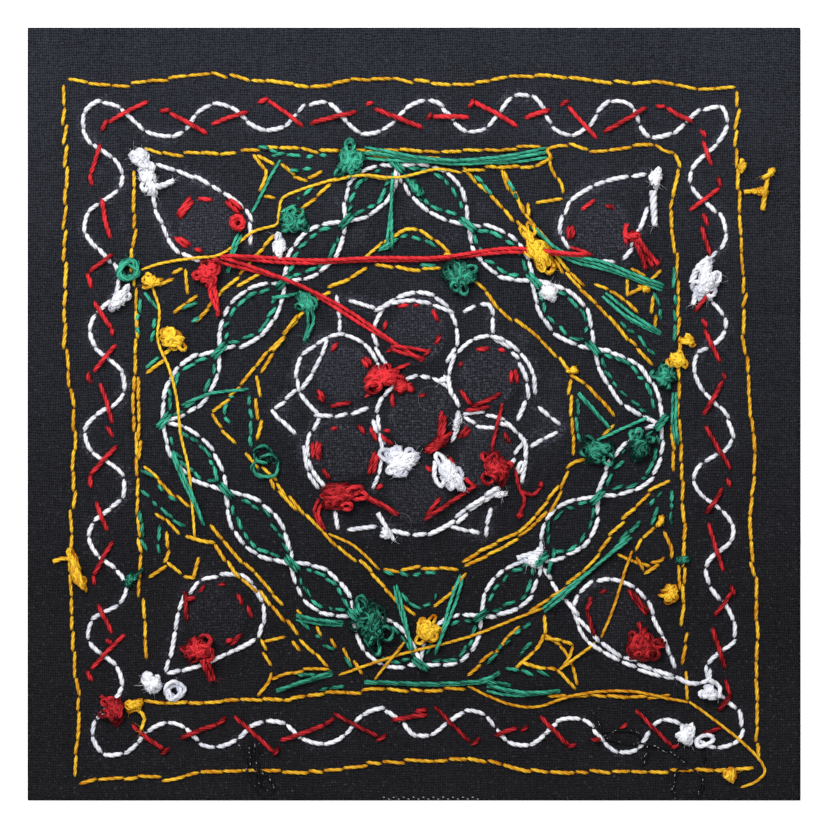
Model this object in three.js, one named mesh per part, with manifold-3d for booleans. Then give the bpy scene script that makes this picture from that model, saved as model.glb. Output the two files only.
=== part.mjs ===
// A square mirror work patch lying wrong side up. Eleven round mirrors hang under a black cotton
// cloth, each in a collar of red thread. The embroidery's back lies on top: frames, a wave, a leaf
// garland, a diamond, a flower of rings and corner drops, with their knots and loose floats.
// Millimetres, +Z up, origin on the surface under the middle of the cloth.
import * as THREE from "three";
import { mergeVertices } from "three/addons/utils/BufferGeometryUtils.js";
import Module from "manifold-3d";

// Driving dimensions
const CLOTH_SIDE = 180;
const CLOTH_THICK = 1;
const MIRROR_RADIUS = 6.35;
const MIRROR_THICK = 0.8;
const COLLAR_LIP = 0.5;
const COLLAR_WALL = 1.3;
const COLLAR_OVERLAP = 1.1;
const SLOPE_LENGTH = 5.2;
const THREAD = 1.1;
const GAP = 0.3;

// Facets of round shapes
const ROUND_SIDES = 16;
const THREAD_SIDES = 3;
const SLOPE_STEPS = [0, 0.5, 1];

// Steps along each line of thread, and how softly its bends round
const STEPS = {
  outerFrame: 52,
  innerFrame: 44,
  wave: 104,
  leaf: 4,
  ring: 14,
  drop: 24,
  diamond: 32,
  bar: 6,
  cornerLine: 12,
  float: 8,
};
const FRAME_BEND = 0.1;
const LINE_BEND = 0.2;
const DROP_BEND = 0.4;
const FULL_BEND = 0.5;

// Heights and radii that follow from the driving dimensions
const MIRROR_BASE = COLLAR_LIP + GAP;
const COLLAR_INNER = MIRROR_RADIUS + GAP;
const COLLAR_OUTER = COLLAR_INNER + COLLAR_WALL;
const CLOTH_LIFT = MIRROR_BASE + MIRROR_THICK + GAP;
const PLATEAU_RADIUS = COLLAR_OUTER + GAP;
const THREAD_RADIUS = THREAD / 2;
const LEVEL_STEP = THREAD + GAP;

const COLOURS = {
  cloth: 0x1b1b20,
  glass: 0xc8d0d4,
  red: 0xc8141e,
  white: 0xf2f1ee,
  yellow: 0xf2b41a,
  green: 0x0f7d55,
};

// A list of rows as objects with named columns
const table = (columns, rows) =>
  rows.map((row) => Object.fromEntries(columns.map((column, i) => [column, row[i]])));

const MIRRORS = table(
  ["name", "x", "y"],
  [
    ["centre", 0.8, -0.8],
    ["petal_n", 0.6, 18.5],
    ["petal_ne", 17.6, 8.6],
    ["petal_se", 17, -10.3],
    ["petal_s", 0.5, -18.8],
    ["petal_sw", -16.3, -9],
    ["petal_nw", -16.4, 9.2],
    ["corner_nw", -47.8, 44],
    ["corner_ne", 43.5, 43.2],
    ["corner_se", 47.2, -47.5],
    ["corner_sw", -45.8, -47],
  ],
);
const FLOWER_RINGS = 7;
const RING_RADIUS = 9.7;

// Bends of the two yellow frames, clockwise from the top left corner
const OUTER_FRAME = table(
  ["x", "y"],
  [
    [-81, 77.6], [-68, 76.8], [-48, 79], [-25, 76.6], [-6, 78], [9, 76.9], [27, 78.9], [46, 77.3],
    [75.4, 76.2],
    [75.1, 60], [76.5, 38], [77, 18], [79.1, -10], [78.2, -27], [79.7, -45], [80, -82.8],
    [50, -83.3], [28, -83], [10, -81], [-5, -81], [-30, -83.5], [-57, -84.8], [-78.6, -85.6],
    [-77.8, -72], [-79.3, -55], [-80.2, -32], [-79.2, -8], [-80.8, 12], [-81, 60],
  ],
);
const INNER_FRAME = table(
  ["x", "y"],
  [
    [-65, 61.8], [-57, 60.5], [-35, 61.8], [-12, 61.6], [8, 61], [30, 62.2], [42, 61.4], [60.8, 61],
    [60, 46], [61.8, 22], [61.8, 2], [62.5, -22], [62.8, -44], [63.4, -66.4],
    [43, -65.8], [8, -64.2], [-15, -64.8], [-41, -66.7], [-62.6, -67],
    [-62.2, -55], [-64, -36], [-65, -8], [-64.8, 20], [-65.3, 46],
  ],
);

// Outer and inner turns of the white wave border, clockwise from the top left corner
const WAVE = table(
  ["x", "y"],
  [
    [-72.5, 72.6], [-58, 64.4], [-46, 72.2], [-33.5, 66], [-21.5, 72.7], [-10.8, 65], [3, 73], [14, 65.5],
    [25.5, 74.4], [36, 64.8], [48, 73], [56, 64.4], [70, 71.8], [72.6, 66.5], [64.4, 55], [72.7, 43],
    [66.5, 31.5], [72.5, 20], [64.9, 11], [74.2, -5], [65.4, -15], [74.6, -27], [67.9, -36], [74.9, -51],
    [68, -60], [76.6, -72.5], [70, -77.8], [58.5, -71.3], [49.5, -79], [37, -70.6], [25, -77.2],
    [13.5, -69.2], [1.5, -75], [-8, -68.5], [-20.5, -77], [-34, -71.6], [-46, -77.6], [-57.5, -71.8],
    [-70, -79.8], [-74.5, -73],
    [-67.9, -62.5], [-75.8, -50.5], [-67.1, -41], [-75.5, -28.5], [-67.2, -16.5], [-76.6, -5], [-67.3, 6.5],
    [-75.4, 19], [-68.6, 31], [-76.7, 44.5], [-68, 55], [-77.1, 66.5],
  ],
);

// Crossings of the leaf garland, clockwise from the top, with the bulge of the leaf that follows each
const GARLAND = table(
  ["x", "y", "outer", "inner"],
  [
    [-4, 57.8, 6.2, 3.4], [12.5, 44, 4.6, 4.8], [28, 31, 5, 4.6], [41.8, 15.2, 5.2, 3.6],
    [57.5, -2, 6.6, 3.2], [42.7, -19.3, 5.2, 5.4], [29.5, -34, 4.8, 4.4], [15.5, -47, 5.4, 4.6],
    [1.5, -58.2, 5.6, 4.2], [-13.8, -47, 4.8, 4.2], [-28.4, -34.8, 5.2, 4.6], [-43.8, -17.8, 4.6, 4],
    [-58.2, -1.6, 5.2, 4.6], [-45.3, 14.7, 5.6, 4.8], [-30.3, 30.8, 4.8, 4.6], [-15.8, 44.9, 5.4, 4],
  ],
);

// Bends of the yellow diamond, clockwise from its top point, and the bars across its four points
const DIAMOND = table(
  ["x", "y"],
  [
    [-1.7, 43.2], [8.5, 36.8], [18, 27], [36.5, 10], [46.6, -1], [38, -10.6], [33, -20], [12, -36],
    [1.5, -46.2], [-9, -37.4], [-25, -23.5], [-39, -9], [-46.8, 0], [-39, 7.6], [-25, 24.3], [-10, 36.6],
  ],
);
const DIAMOND_BARS = table(
  ["x0", "y0", "x1", "y1"],
  [
    [-11, 35.4, 9.6, 35],
    [37.2, 9.4, 37.6, -10],
    [-9.8, -36.4, 11.6, -36],
    [-37.6, 8.8, -37.2, -10],
  ],
);

// Yellow lines that cut off the four corners
const CORNER_LINES = [
  {
    name: "ne",
    path: table(["x", "y"], [[11, 56.4], [25, 43.5], [34, 34.2], [40, 28], [55.5, 12]]),
    lump: { x: 28.5, y: 39.5, length: 8, width: 5.5, height: 3.2, turn: 1.9 },
  },
  {
    name: "se",
    path: table(["x", "y"], [[60, -15.5], [45.5, -29], [30, -44.5], [16.5, -57], [12.8, -61]]),
    lump: null,
  },
  {
    name: "sw",
    path: table(
      ["x", "y"],
      [[-62, -21.8], [-46.5, -30], [-41, -34.6], [-34.5, -40], [-28, -49.4], [-19.5, -59]],
    ),
    lump: null,
  },
  {
    name: "nw",
    path: table(["x", "y"], [[-62.5, 9], [-52, 19.5], [-40, 33.3], [-33, 42.2], [-24, 52]]),
    lump: { x: -55.5, y: 17.8, length: 6.8, width: 6.2, height: 3.4, turn: 0.4 },
  },
];

// White corner drops: the mirror that each rounds, where its point lies, and the knot at the point
const DROPS = [
  {
    corner: "corner_nw",
    point: { x: -60, y: 56.2 },
    lump: { x: -61.4, y: 55.4, length: 8.4, width: 4.2, height: 3.2, turn: -1.1 },
  },
  {
    corner: "corner_ne",
    point: { x: 55, y: 56 },
    lump: { x: 55.8, y: 54.6, length: 5.4, width: 4.2, height: 3, turn: 1.4 },
  },
  {
    corner: "corner_se",
    point: { x: 61, y: -61.6 },
    lump: null,
  },
  {
    corner: "corner_sw",
    point: { x: -58, y: -60.6 },
    lump: { x: -59.6, y: -62, length: 6.4, width: 4.8, height: 3, turn: 2.2 },
  },
];
const DROP_RADIUS = 10.2;

// Lumps of tied thread on the long white and yellow lines
const WAVE_LUMPS = table(
  ["x", "y", "length", "width", "height", "turn"],
  [
    [67.6, 31.5, 11, 6.6, 3.4, 1.2],
    [62.8, -74.4, 6, 5.2, 3, 1.8],
    [-68.8, 27.5, 6.8, 4.4, 3, 1.2],
  ],
);
const FRAME_LUMPS = table(
  ["x", "y", "length", "width", "height", "turn"],
  [
    [-79, -36.5, 10.5, 4, 3, -1.3],
    [75.8, 57.6, 3.8, 2.8, 2.4, 1.5],
  ],
);
const FLOWER_LUMPS = table(
  ["x", "y", "length", "width", "height", "turn"],
  [
    [-3.6, -10.8, 8.6, 5.4, 3, 0.1],
    [8.2, -13.8, 9.6, 5, 3, -1],
  ],
);
const DIAMOND_LUMPS = table(
  ["x", "y", "length", "width", "height", "turn"],
  [[3, -47.2, 6.6, 5.4, 3.4, 0.3]],
);

// Knots that sit on top of the lines, with the far end of a loose tail, or null
const KNOTS = table(
  ["name", "colour", "x", "y", "length", "width", "height", "turn", "level", "tailX", "tailY"],
  [
    ["flower_n", "red", -6, 8.4, 10.5, 5.6, 3, 0.1, 1, -11.6, 4],
    ["flower_sw", "red", -17.6, -19, 10, 5.6, 3.2, 0, 1, -4, -23.4],
    ["flower_se", "red", 18.6, -12.4, 7.6, 6.4, 3.4, -0.8, 1, 20.4, 1.6],
    ["corner_sw", "red", -50.6, -55, 7.2, 5.8, 3, 0, 1, -46.8, -61.6],
    ["corner_se", "red", 53.2, -54.4, 9.4, 6, 3, -0.4, 0, 52.6, -48.6],
    ["border_sw", "red", -70, -69, 7.4, 6.6, 3.2, 0.5, 1, -64.6, -73.6],
    ["diamond_n", "green", 11, 32.6, 8.4, 6.4, 3.2, -0.5, 1, null, null],
    ["leaf_e", "green", 57.9, 9, 6.2, 5.4, 3, 1.2, 0, null, null],
    ["leaf_se_a", "green", 43, -8.6, 6.6, 6, 3.2, 0.3, 1, null, null],
    ["leaf_se_b", "green", 52.4, -7.4, 7, 6.4, 3.2, 1.4, 1, null, null],
    ["leaf_sw", "green", -10.4, -49.2, 10.6, 8.6, 3.4, 1.5, 1, -16, -47.6],
    ["frame_w", "green", -66.4, 33.6, 6.6, 6.2, 3, 0.7, 1, null, null],
  ],
);

// Loose floats that run over the lines, with the knot each one starts from, or null
const FLOATS = table(
  ["name", "colour", "x0", "y0", "x1", "y1", "bow", "level", "thick", "knot"],
  [
    ["across_n", "red", -47, 35, 40.6, 37.6, 0.6, 2.9, 1.4, { length: 8, width: 7.4, height: 3.2 }],
    ["frame_n", "green", -14.6, 59.4, 30.5, 60.2, -1.2, 1, 2.2, { length: 8.6, width: 6.4, height: 3.4 }],
    ["frame_s", "green", -11, -62.4, 33, -63.6, 0.8, 1, 2, null],
    ["corner_se", "green", 50, -29.6, 31, -45, 0, 1, 1.8, null],
    ["corner_ne", "green", 33, 38.4, 57.6, 29.8, -0.6, 1, 1.8, null],
    ["point_s_w", "green", -4.4, -40.2, 0, -55.6, 0, 1, 1.6, null],
    ["point_s_e", "green", 10.8, -38, 5.2, -55.8, 0, 1, 1.6, null],
    ["leaf_w", "green", -55.6, -9.4, -49.4, -26, 0, 1, 1.6, null],
  ],
);

const wasm = await Module();
wasm.setup();

const materials = Object.fromEntries(
  Object.entries(COLOURS).map(([name, color]) => [
    name,
    new THREE.MeshStandardMaterial({
      color,
      roughness: name === "glass" ? 0.08 : 0.9,
      metalness: name === "glass" ? 0.9 : 0,
    }),
  ]),
);

const part = new THREE.Group();

function addMesh(name, geometry, material) {
  const mesh = new THREE.Mesh(geometry, materials[material]);
  mesh.name = name;
  part.add(mesh);
}

// A closed geometry as a solid for joins and cuts
function toSolid(geometry) {
  const bare = geometry.clone();
  bare.deleteAttribute("normal");
  bare.deleteAttribute("uv");
  const merged = mergeVertices(bare, 1e-4);
  return new wasm.Manifold(
    new wasm.Mesh({
      numProp: 3,
      vertProperties: new Float32Array(merged.attributes.position.array),
      triVerts: new Uint32Array(merged.index.array),
    }),
  );
}

// A solid as a geometry again
function toGeometry(solid) {
  const mesh = solid.getMesh();
  const geometry = new THREE.BufferGeometry();
  geometry.setAttribute("position", new THREE.BufferAttribute(new Float32Array(mesh.vertProperties), 3));
  geometry.setIndex(new THREE.BufferAttribute(new Uint32Array(mesh.triVerts), 1));
  geometry.computeVertexNormals();
  return geometry;
}

const joined = (geometries) => toGeometry(geometries.map(toSolid).reduce((a, b) => a.add(b)));

// Share of the full lift at a distance from a mirror's middle: flat over the mirror, then an S slope
function liftShare(distance) {
  const t = THREE.MathUtils.clamp((distance - PLATEAU_RADIUS) / SLOPE_LENGTH, 0, 1);
  return 1 - t * t * (3 - 2 * t);
}

// Height of the cloth's upper face at a point
function clothTop(x, y) {
  const shares = MIRRORS.map((mirror) => liftShare(Math.hypot(x - mirror.x, y - mirror.y)));
  return CLOTH_THICK + CLOTH_LIFT * Math.max(...shares);
}

// The cloth's rise over one mirror, up from a floor height, with the rise's own top offset
function rise(mirror, floor, offset) {
  const slope = SLOPE_STEPS.map((t) => {
    const radius = PLATEAU_RADIUS + t * SLOPE_LENGTH;
    return new THREE.Vector2(radius, offset + CLOTH_LIFT * liftShare(radius));
  });
  const foot = slope[slope.length - 1].x;
  const profile = [
    new THREE.Vector2(0, floor),
    new THREE.Vector2(foot, floor),
    ...slope.reverse(),
    new THREE.Vector2(0, offset + CLOTH_LIFT),
  ];
  const geometry = new THREE.LatheGeometry(profile, ROUND_SIDES);
  geometry.rotateX(Math.PI / 2);
  geometry.translate(mirror.x, mirror.y, 0);
  return geometry;
}

// The cloth is a flat sheet that rises over each mirror, with the same thickness all over
function cloth() {
  const sheet = new THREE.BoxGeometry(CLOTH_SIDE, CLOTH_SIDE, CLOTH_THICK);
  sheet.translate(0, 0, CLOTH_THICK / 2);
  let solid = toSolid(sheet);
  MIRRORS.forEach((mirror) => {
    solid = solid.add(toSolid(rise(mirror, CLOTH_THICK / 2, CLOTH_THICK)));
  });
  MIRRORS.forEach((mirror) => {
    solid = solid.subtract(toSolid(rise(mirror, -CLOTH_THICK, 0)));
  });
  return toGeometry(solid);
}

// A turned shape standing at a mirror's place
function turned(profile, mirror) {
  const geometry = new THREE.LatheGeometry(
    profile.map(([radius, height]) => new THREE.Vector2(radius, height)),
    ROUND_SIDES,
  );
  geometry.rotateX(Math.PI / 2);
  geometry.translate(mirror.x, mirror.y, 0);
  return geometry;
}

const mirrorDisc = (mirror) =>
  turned(
    [
      [0, MIRROR_BASE],
      [MIRROR_RADIUS, MIRROR_BASE],
      [MIRROR_RADIUS, MIRROR_BASE + MIRROR_THICK],
      [0, MIRROR_BASE + MIRROR_THICK],
    ],
    mirror,
  );

// A collar is a wall of thread round the rim with a lip over the mirror's face
const collar = (mirror) =>
  turned(
    [
      [MIRROR_RADIUS - COLLAR_OVERLAP, 0],
      [COLLAR_OUTER, 0],
      [COLLAR_OUTER, CLOTH_LIFT - GAP],
      [COLLAR_INNER, CLOTH_LIFT - GAP],
      [COLLAR_INNER, COLLAR_LIP],
      [MIRROR_RADIUS - COLLAR_OVERLAP, COLLAR_LIP],
      [MIRROR_RADIUS - COLLAR_OVERLAP, 0],
    ],
    mirror,
  );

// A point of a thread's middle line, lying on the cloth at a level of crossing threads
const onCloth = (x, y, radius = THREAD_RADIUS, level = 0) =>
  new THREE.Vector3(x, y, clothTop(x, y) + GAP + radius + level * LEVEL_STEP);

// A plan curve sampled evenly and laid on the cloth
function laidCurve(points, steps, closed, bend) {
  const plan = new THREE.CatmullRomCurve3(
    points.map((point) => new THREE.Vector3(point.x, point.y, 0)),
    closed,
    "catmullrom",
    bend,
  );
  const laid = plan.getSpacedPoints(steps).map((point) => onCloth(point.x, point.y));
  if (closed) laid.pop();
  return new THREE.CatmullRomCurve3(laid, closed, "catmullrom", 0);
}

// A closed line of thread
const loop = (points, steps, bend = FULL_BEND) =>
  new THREE.TubeGeometry(laidCurve(points, steps, true, bend), steps, THREAD_RADIUS, THREAD_SIDES, true);

const ringOutline = (radius) =>
  new THREE.Shape().absellipse(0, 0, radius, radius, 0, 2 * Math.PI).getPoints(THREAD_SIDES).slice(0, -1);

// A thread with two ends along a curve
const strand = (curve, steps, radius = THREAD_RADIUS) =>
  new THREE.ExtrudeGeometry(new THREE.Shape(ringOutline(radius)), { extrudePath: curve, steps });

const line = (points, steps) => strand(laidCurve(points, steps, false, LINE_BEND), steps);

// A lump of tied thread: a low dome with uneven sides, its foot just over the cloth
function lump({ x, y, length, width, height, turn }, level = 0) {
  const ball = new THREE.IcosahedronGeometry(1, 1);
  ball.deleteAttribute("normal");
  ball.deleteAttribute("uv");
  const geometry = mergeVertices(ball);
  const place = geometry.attributes.position;
  const foot = clothTop(x, y) + GAP + level * LEVEL_STEP;
  for (let i = 0; i < place.count; i += 1) {
    const spot = new THREE.Vector3().fromBufferAttribute(place, i);
    const swell = 1 + 0.1 * Math.sin(5 * spot.x + x) * Math.cos(4 * spot.y + y);
    const along = (spot.x * swell * length) / 2;
    const across = (spot.y * swell * width) / 2;
    place.setXYZ(
      i,
      x + along * Math.cos(turn) - across * Math.sin(turn),
      y + along * Math.sin(turn) + across * Math.cos(turn),
      foot + ((1 + spot.z) * height) / 2,
    );
  }
  return geometry;
}

// A loose thread from one place to another, bowed to a side, at a level over the lines
function float({ x0, y0, x1, y1, bow, level, thick }) {
  const across = new THREE.Vector2(y0 - y1, x1 - x0).normalize();
  const points = Array.from({ length: STEPS.float + 1 }, (_, i) => {
    const t = i / STEPS.float;
    const side = bow * 4 * t * (1 - t);
    const x = THREE.MathUtils.lerp(x0, x1, t) + across.x * side;
    const y = THREE.MathUtils.lerp(y0, y1, t) + across.y * side;
    return onCloth(x, y, thick / 2, level);
  });
  return strand(new THREE.CatmullRomCurve3(points, false, "catmullrom", FULL_BEND), STEPS.float, thick / 2);
}

// The middle of one side of a leaf, pushed out from the chord between two crossings
function leafSide(from, to, bulge) {
  const across = new THREE.Vector2(from.y - to.y, to.x - from.x).normalize();
  return {
    x: (from.x + to.x) / 2 + across.x * bulge,
    y: (from.y + to.y) / 2 + across.y * bulge,
  };
}

// Two threads wind round the garland, changing sides at each crossing
function garland() {
  const threads = [0, 1].map((first) =>
    GARLAND.flatMap((from, i) => {
      const to = GARLAND[(i + 1) % GARLAND.length];
      const bulge = (i + first) % 2 ? -from.inner : from.outer;
      return [from, leafSide(from, to, bulge)];
    }),
  );
  return joined(threads.map((points) => loop(points, GARLAND.length * STEPS.leaf)));
}

const outerFrame = () =>
  joined([loop(OUTER_FRAME, STEPS.outerFrame, FRAME_BEND), ...FRAME_LUMPS.map((row) => lump(row))]);

const wave = () => joined([loop(WAVE, STEPS.wave), ...WAVE_LUMPS.map((row) => lump(row))]);

// Seven touching rings, one round each mirror of the flower
function flower() {
  const rings = MIRRORS.slice(0, FLOWER_RINGS).map((mirror) => {
    const points = Array.from({ length: STEPS.ring }, (_, i) => ({
      x: mirror.x + RING_RADIUS * Math.cos((2 * Math.PI * i) / STEPS.ring),
      y: mirror.y + RING_RADIUS * Math.sin((2 * Math.PI * i) / STEPS.ring),
    }));
    return loop(points, STEPS.ring);
  });
  return joined([...rings, ...FLOWER_LUMPS.map((row) => lump(row))]);
}

// A drop: a round end about a corner mirror, drawn out to a point
function drop({ corner, point, lump: knot }) {
  const mirror = MIRRORS.find((row) => row.name === corner);
  const heading = Math.atan2(point.y - mirror.y, point.x - mirror.x);
  const openHalf = 1.05;
  const arcSteps = 8;
  const arc = Array.from({ length: arcSteps + 1 }, (_, i) => {
    const angle = heading + openHalf + ((2 * Math.PI - 2 * openHalf) * i) / arcSteps;
    return { x: mirror.x + DROP_RADIUS * Math.cos(angle), y: mirror.y + DROP_RADIUS * Math.sin(angle) };
  });
  const outline = loop([point, ...arc], STEPS.drop, DROP_BEND);
  return knot ? joined([outline, lump(knot)]) : outline;
}

function diamond() {
  const outline = loop(DIAMOND, STEPS.diamond, FRAME_BEND);
  const bars = DIAMOND_BARS.map(({ x0, y0, x1, y1 }) =>
    line([{ x: x0, y: y0 }, { x: x1, y: y1 }], STEPS.bar),
  );
  return joined([outline, ...bars, ...DIAMOND_LUMPS.map((row) => lump(row))]);
}

function cornerLine({ path, lump: knot }) {
  const thread = line(path, STEPS.cornerLine);
  return knot ? joined([thread, lump(knot)]) : thread;
}

// A knot over the lines, with its loose tail
function knotWithTail(row) {
  const { level, x, y, tailX, tailY } = row;
  const body = lump(row, level);
  if (tailX === null) return body;
  const tail = float({ x0: x, y0: y, x1: tailX, y1: tailY, bow: 0.6, level, thick: THREAD });
  return joined([body, tail]);
}

function floatWithKnot(row) {
  if (!row.knot) return float(row);
  const knot = { ...row.knot, x: row.x0, y: row.y0, turn: 1 };
  return joined([float(row), lump(knot, row.level)]);
}

addMesh("cloth", cloth(), "cloth");
MIRRORS.forEach((mirror) => {
  addMesh(`mirror_${mirror.name}`, mirrorDisc(mirror), "glass");
  addMesh(`collar_${mirror.name}`, collar(mirror), "red");
});
addMesh("yellow_frame_outer", outerFrame(), "yellow");
addMesh("yellow_frame_inner", loop(INNER_FRAME, STEPS.innerFrame, FRAME_BEND), "yellow");
addMesh("yellow_diamond", diamond(), "yellow");
CORNER_LINES.forEach((row) => addMesh(`yellow_corner_${row.name}`, cornerLine(row), "yellow"));
addMesh("white_wave", wave(), "white");
addMesh("white_garland", garland(), "white");
addMesh("white_flower", flower(), "white");
DROPS.forEach((row) => addMesh(`white_drop_${row.corner}`, drop(row), "white"));
KNOTS.forEach((row) => addMesh(`${row.colour}_knot_${row.name}`, knotWithTail(row), row.colour));
FLOATS.forEach((row) => addMesh(`${row.colour}_float_${row.name}`, floatWithKnot(row), row.colour));

export default part;
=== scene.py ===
"""A mirror work patch lying wrong side up: cloth, stitches, knots, floats and mirrors."""
import math

import bpy
import numpy as np
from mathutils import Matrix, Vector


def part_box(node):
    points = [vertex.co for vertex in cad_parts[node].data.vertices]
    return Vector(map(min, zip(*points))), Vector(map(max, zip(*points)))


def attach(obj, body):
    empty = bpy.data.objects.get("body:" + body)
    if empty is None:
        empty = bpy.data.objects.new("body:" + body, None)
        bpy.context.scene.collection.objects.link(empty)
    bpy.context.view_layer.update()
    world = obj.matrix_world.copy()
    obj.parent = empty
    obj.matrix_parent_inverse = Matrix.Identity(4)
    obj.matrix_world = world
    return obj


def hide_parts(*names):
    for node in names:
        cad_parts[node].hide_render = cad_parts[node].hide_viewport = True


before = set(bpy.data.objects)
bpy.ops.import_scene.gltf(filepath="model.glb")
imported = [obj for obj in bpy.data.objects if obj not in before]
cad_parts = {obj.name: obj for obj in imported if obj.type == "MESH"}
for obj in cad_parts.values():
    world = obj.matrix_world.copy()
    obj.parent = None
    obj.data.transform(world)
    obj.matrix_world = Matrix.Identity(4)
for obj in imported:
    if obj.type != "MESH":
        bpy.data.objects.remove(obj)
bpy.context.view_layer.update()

# Sizes in millimetres, in the frame's own axes
MM = 0.001
TINY = 1e-9
SOLID_THICK = 1
CLOTH_THICK = 0.7
CLOTH_STEP = 1.0
PLATEAU_RADIUS = 6.3
RIM_WIDTH = 1.1
FOOT_RADIUS = 13.4
RIM_SHARE = 0.34
WARP_PITCH = 0.53
WEFT_PITCH = 0.62

# Ripples of the cloth along x and along y: length, and how far and how slowly each wanders
RIPPLE = 0.16
RIPPLES = ((9.1, 0.6, 13), (10.3, 0.8, 17))

# Old creases in the cloth: edge end, inner end and height, and where along it each starts to fade
CREASES = [((13, 91), (13, 64), 0.35), ((91, 26), (60, 26.5), 0.3), ((91, -29.5), (60, -29), 0.3)]
CREASE_WIDTH = 1.7
CREASE_FADE = 0.6

# Picture: the cloth fills this share of a square image, seen straight from above
IMAGE_PIXELS = 828
CLOTH_PIXELS = 773
LENS = 200
SENSOR = 36

# Ground and light, in metres and watts
WHITE = (1.0, 1.0, 1.0, 1.0)
FLOOR_REACH = 3.0
FLOOR_LEVEL = -0.0004
FLOOR_GLOW = 0.6
LAMP_WATTS = 12.0
LAMP_SIZE = 0.7
LAMP_PLACE = (-0.35, 0.62, 0.9)
SKY = 0.62

# Thread: radius of a laid stitch, its length and gap, sway and steady lean of its ends
THREADS = {
    "yellow": {"radius": 0.44, "length": 4.5, "gap": 0.3, "sway": 0.24, "lean": 0.1},
    "white": {"radius": 0.53, "length": 4.0, "gap": 0.55, "sway": 0.2, "lean": 0.0},
    "red": {"radius": 0.57, "length": 3.2, "gap": 0.5, "sway": 0.1, "lean": 0.0},
    "green": {"radius": 0.49, "length": 2.3, "gap": 0.9, "sway": 0.3, "lean": 0.0},
    "dark": {"radius": 0.24},
}
SLOTS = {"dark": "black_cotton"}

# Tone between the dark and the light colour: stitches, floats, tied ends, fall to the lower right
TONES = {
    "yellow": {"stitch": 0.0, "float": 0.0, "heap": 0.25, "fall": 0.4},
    "white": {"stitch": 0.1, "float": 0.1, "heap": 0.1, "fall": 0.2},
    "red": {"stitch": -0.2, "float": -0.15, "heap": 0.0, "fall": 1.0},
    "green": {"stitch": -0.1, "float": 0.25, "heap": -0.4, "fall": 0.7},
    "dark": {"float": -2.0, "fall": 0.0},
}
TONE_SPREAD = 0.8
TONE_FALL = {"slope": 0.4, "low": -100, "high": 80}
# Painted shade on every tube: faces turned down and to the sides darker, faces turned up lighter
SIDE_SHADE = 0.9
SIDE_SHADE_MIDDLE = 0.5
# Painted shade in tied ends: curls lying low in the heap darker, those on top lighter
HEAP_DEPTH_SHADE = 2.3
HEAP_SHADE_MIDDLE = 0.82
# Painted shade: the filled middle of a tied end slightly darker, to show as shade between its curls
CORE_SHADE = -0.1

# Lines: length of their steps, and steps of a curve from point to point
POINT_STEP = 0.5
CURVE_STEPS = 12
WAVE_STEPS = 10
CREST = 1.3
ALMOST_UP = (0.03, 0.02, 1)

# Plies twisted into a thread, in shares of its radius
PLIES = 3
PLY_PITCH = 4.8
PLY_SIDES = 4
PLY_OFFSET = 0.46
PLY_SHARE = 0.6
PLY_TONES = (0.35, 0.0, -0.45)

# Heights are in radii of the thread, lengths in millimetres
THIN_END = 0.8
STITCH = {"thick": (0.9, 1.1), "low": 0.5, "high": 0.75, "rise": (-0.2, 0.8)}
ROW = {"step": 0.25, "breaks": 0.13, "gaps": (0.2, 1.8), "shortest": 0.6, "chord": 0.3}
FLOAT = {"thick": 0.82, "apart": 1.6, "low": 0.4, "high": 0.8, "least": 0.6, "hang": 0.5,
         "rise": (-0.4, 2.2), "calm": 4}
SWING = {"start": (0, 6), "bundle": (5, 9), "strand": (3, 6), "even": 0.75, "uneven": 0.45, "aside": 0.25}
TAIL = {"tip": 0.75, "high": 0.85, "hairs": 7, "hair": 1.2}
WIND = {"step": 0.6, "low": 0.8, "least": 0.6}
HAIR = {"radius": 0.03, "points": 4, "sides": 3, "tip": 0.5, "reach": (0.4, 1.3), "lift": (-0.2, 0.5),
        "curl": 0.7, "clear": 0.1, "tones": (0.4, 1)}

# Tied ends, in shares of their half sizes: curls, loose loops at the edge, open rings and filled middles
CURL_POINTS = 5
LOBES = {"count": 3, "turn": 2.1, "drift": 0.3, "reach": 1.1}
TANGLES = {
    "ball": {"curl": (0.3, 0.52), "spread": 0.66, "scatter": 0.5, "thick": 0.95, "fill": 1.4, "core": 0.55,
             "hairs": 0.3, "hair": 1.3},
    "tuft": {"curl": (0.28, 0.52), "spread": 0.72, "scatter": 0.35, "thick": 1.2, "fill": 1.4, "core": 0.5,
             "hairs": 1.3, "hair": 1.6},
}
CURL_FLAT = (0.4, 0.7)
HEAP_EDGE = 0.3
HEAP_LEVELS = (0.7, 1.05)
STRAY = {"every": 4, "points": 7, "reach": (0.7, 0.95), "size": (0.26, 0.44), "flat": (0.5, 0.9),
         "levels": (0.35, 0.95), "hairs": 0, "hair": 0}
HOLES = {"ring": 0.42, "loop": 0.8}
RING = {"drift": 0.2, "levels": (0.3, 1), "thick": 0.85}
CORE = {"rings": 8, "sides": 16, "end": 0.99}

# Cloth colours, the upper one with a painted sheen toward the top, and how much each part of the shading
# adds
CLOTH_LOW = (34, 34, 38)
CLOTH_SHEEN = (57, 60, 70)
CLOTH_DEEP = (6, 6, 8)
LINT = (96, 97, 106)
CHALK = (112, 112, 130)
WOBBLE = 2.4
CLOTH_MIX = {"weave": 0.8, "slub": 0.07, "wear": 0.36, "grain": 1.3, "base": -0.88}
# Painted sheen: how fast the cloth turns from its lower colour to the paler, bluer one toward the top
TOP_SHEEN = {"slope": 6.4, "base": 0.26}
SPECKS = {"level": 0.6, "gain": 1.8}
RUBBED = {"level": 0.4, "gain": 3.0, "low": 0.2}
THREAD_MIX = {"tone": 0.45, "wear": 0.5, "fibre": 0.3, "base": -0.12}
GLASS_LOW = (210, 214, 216)
GLASS_HIGH = (236, 240, 242)
GLASS_ROUGH = 0.12

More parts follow.
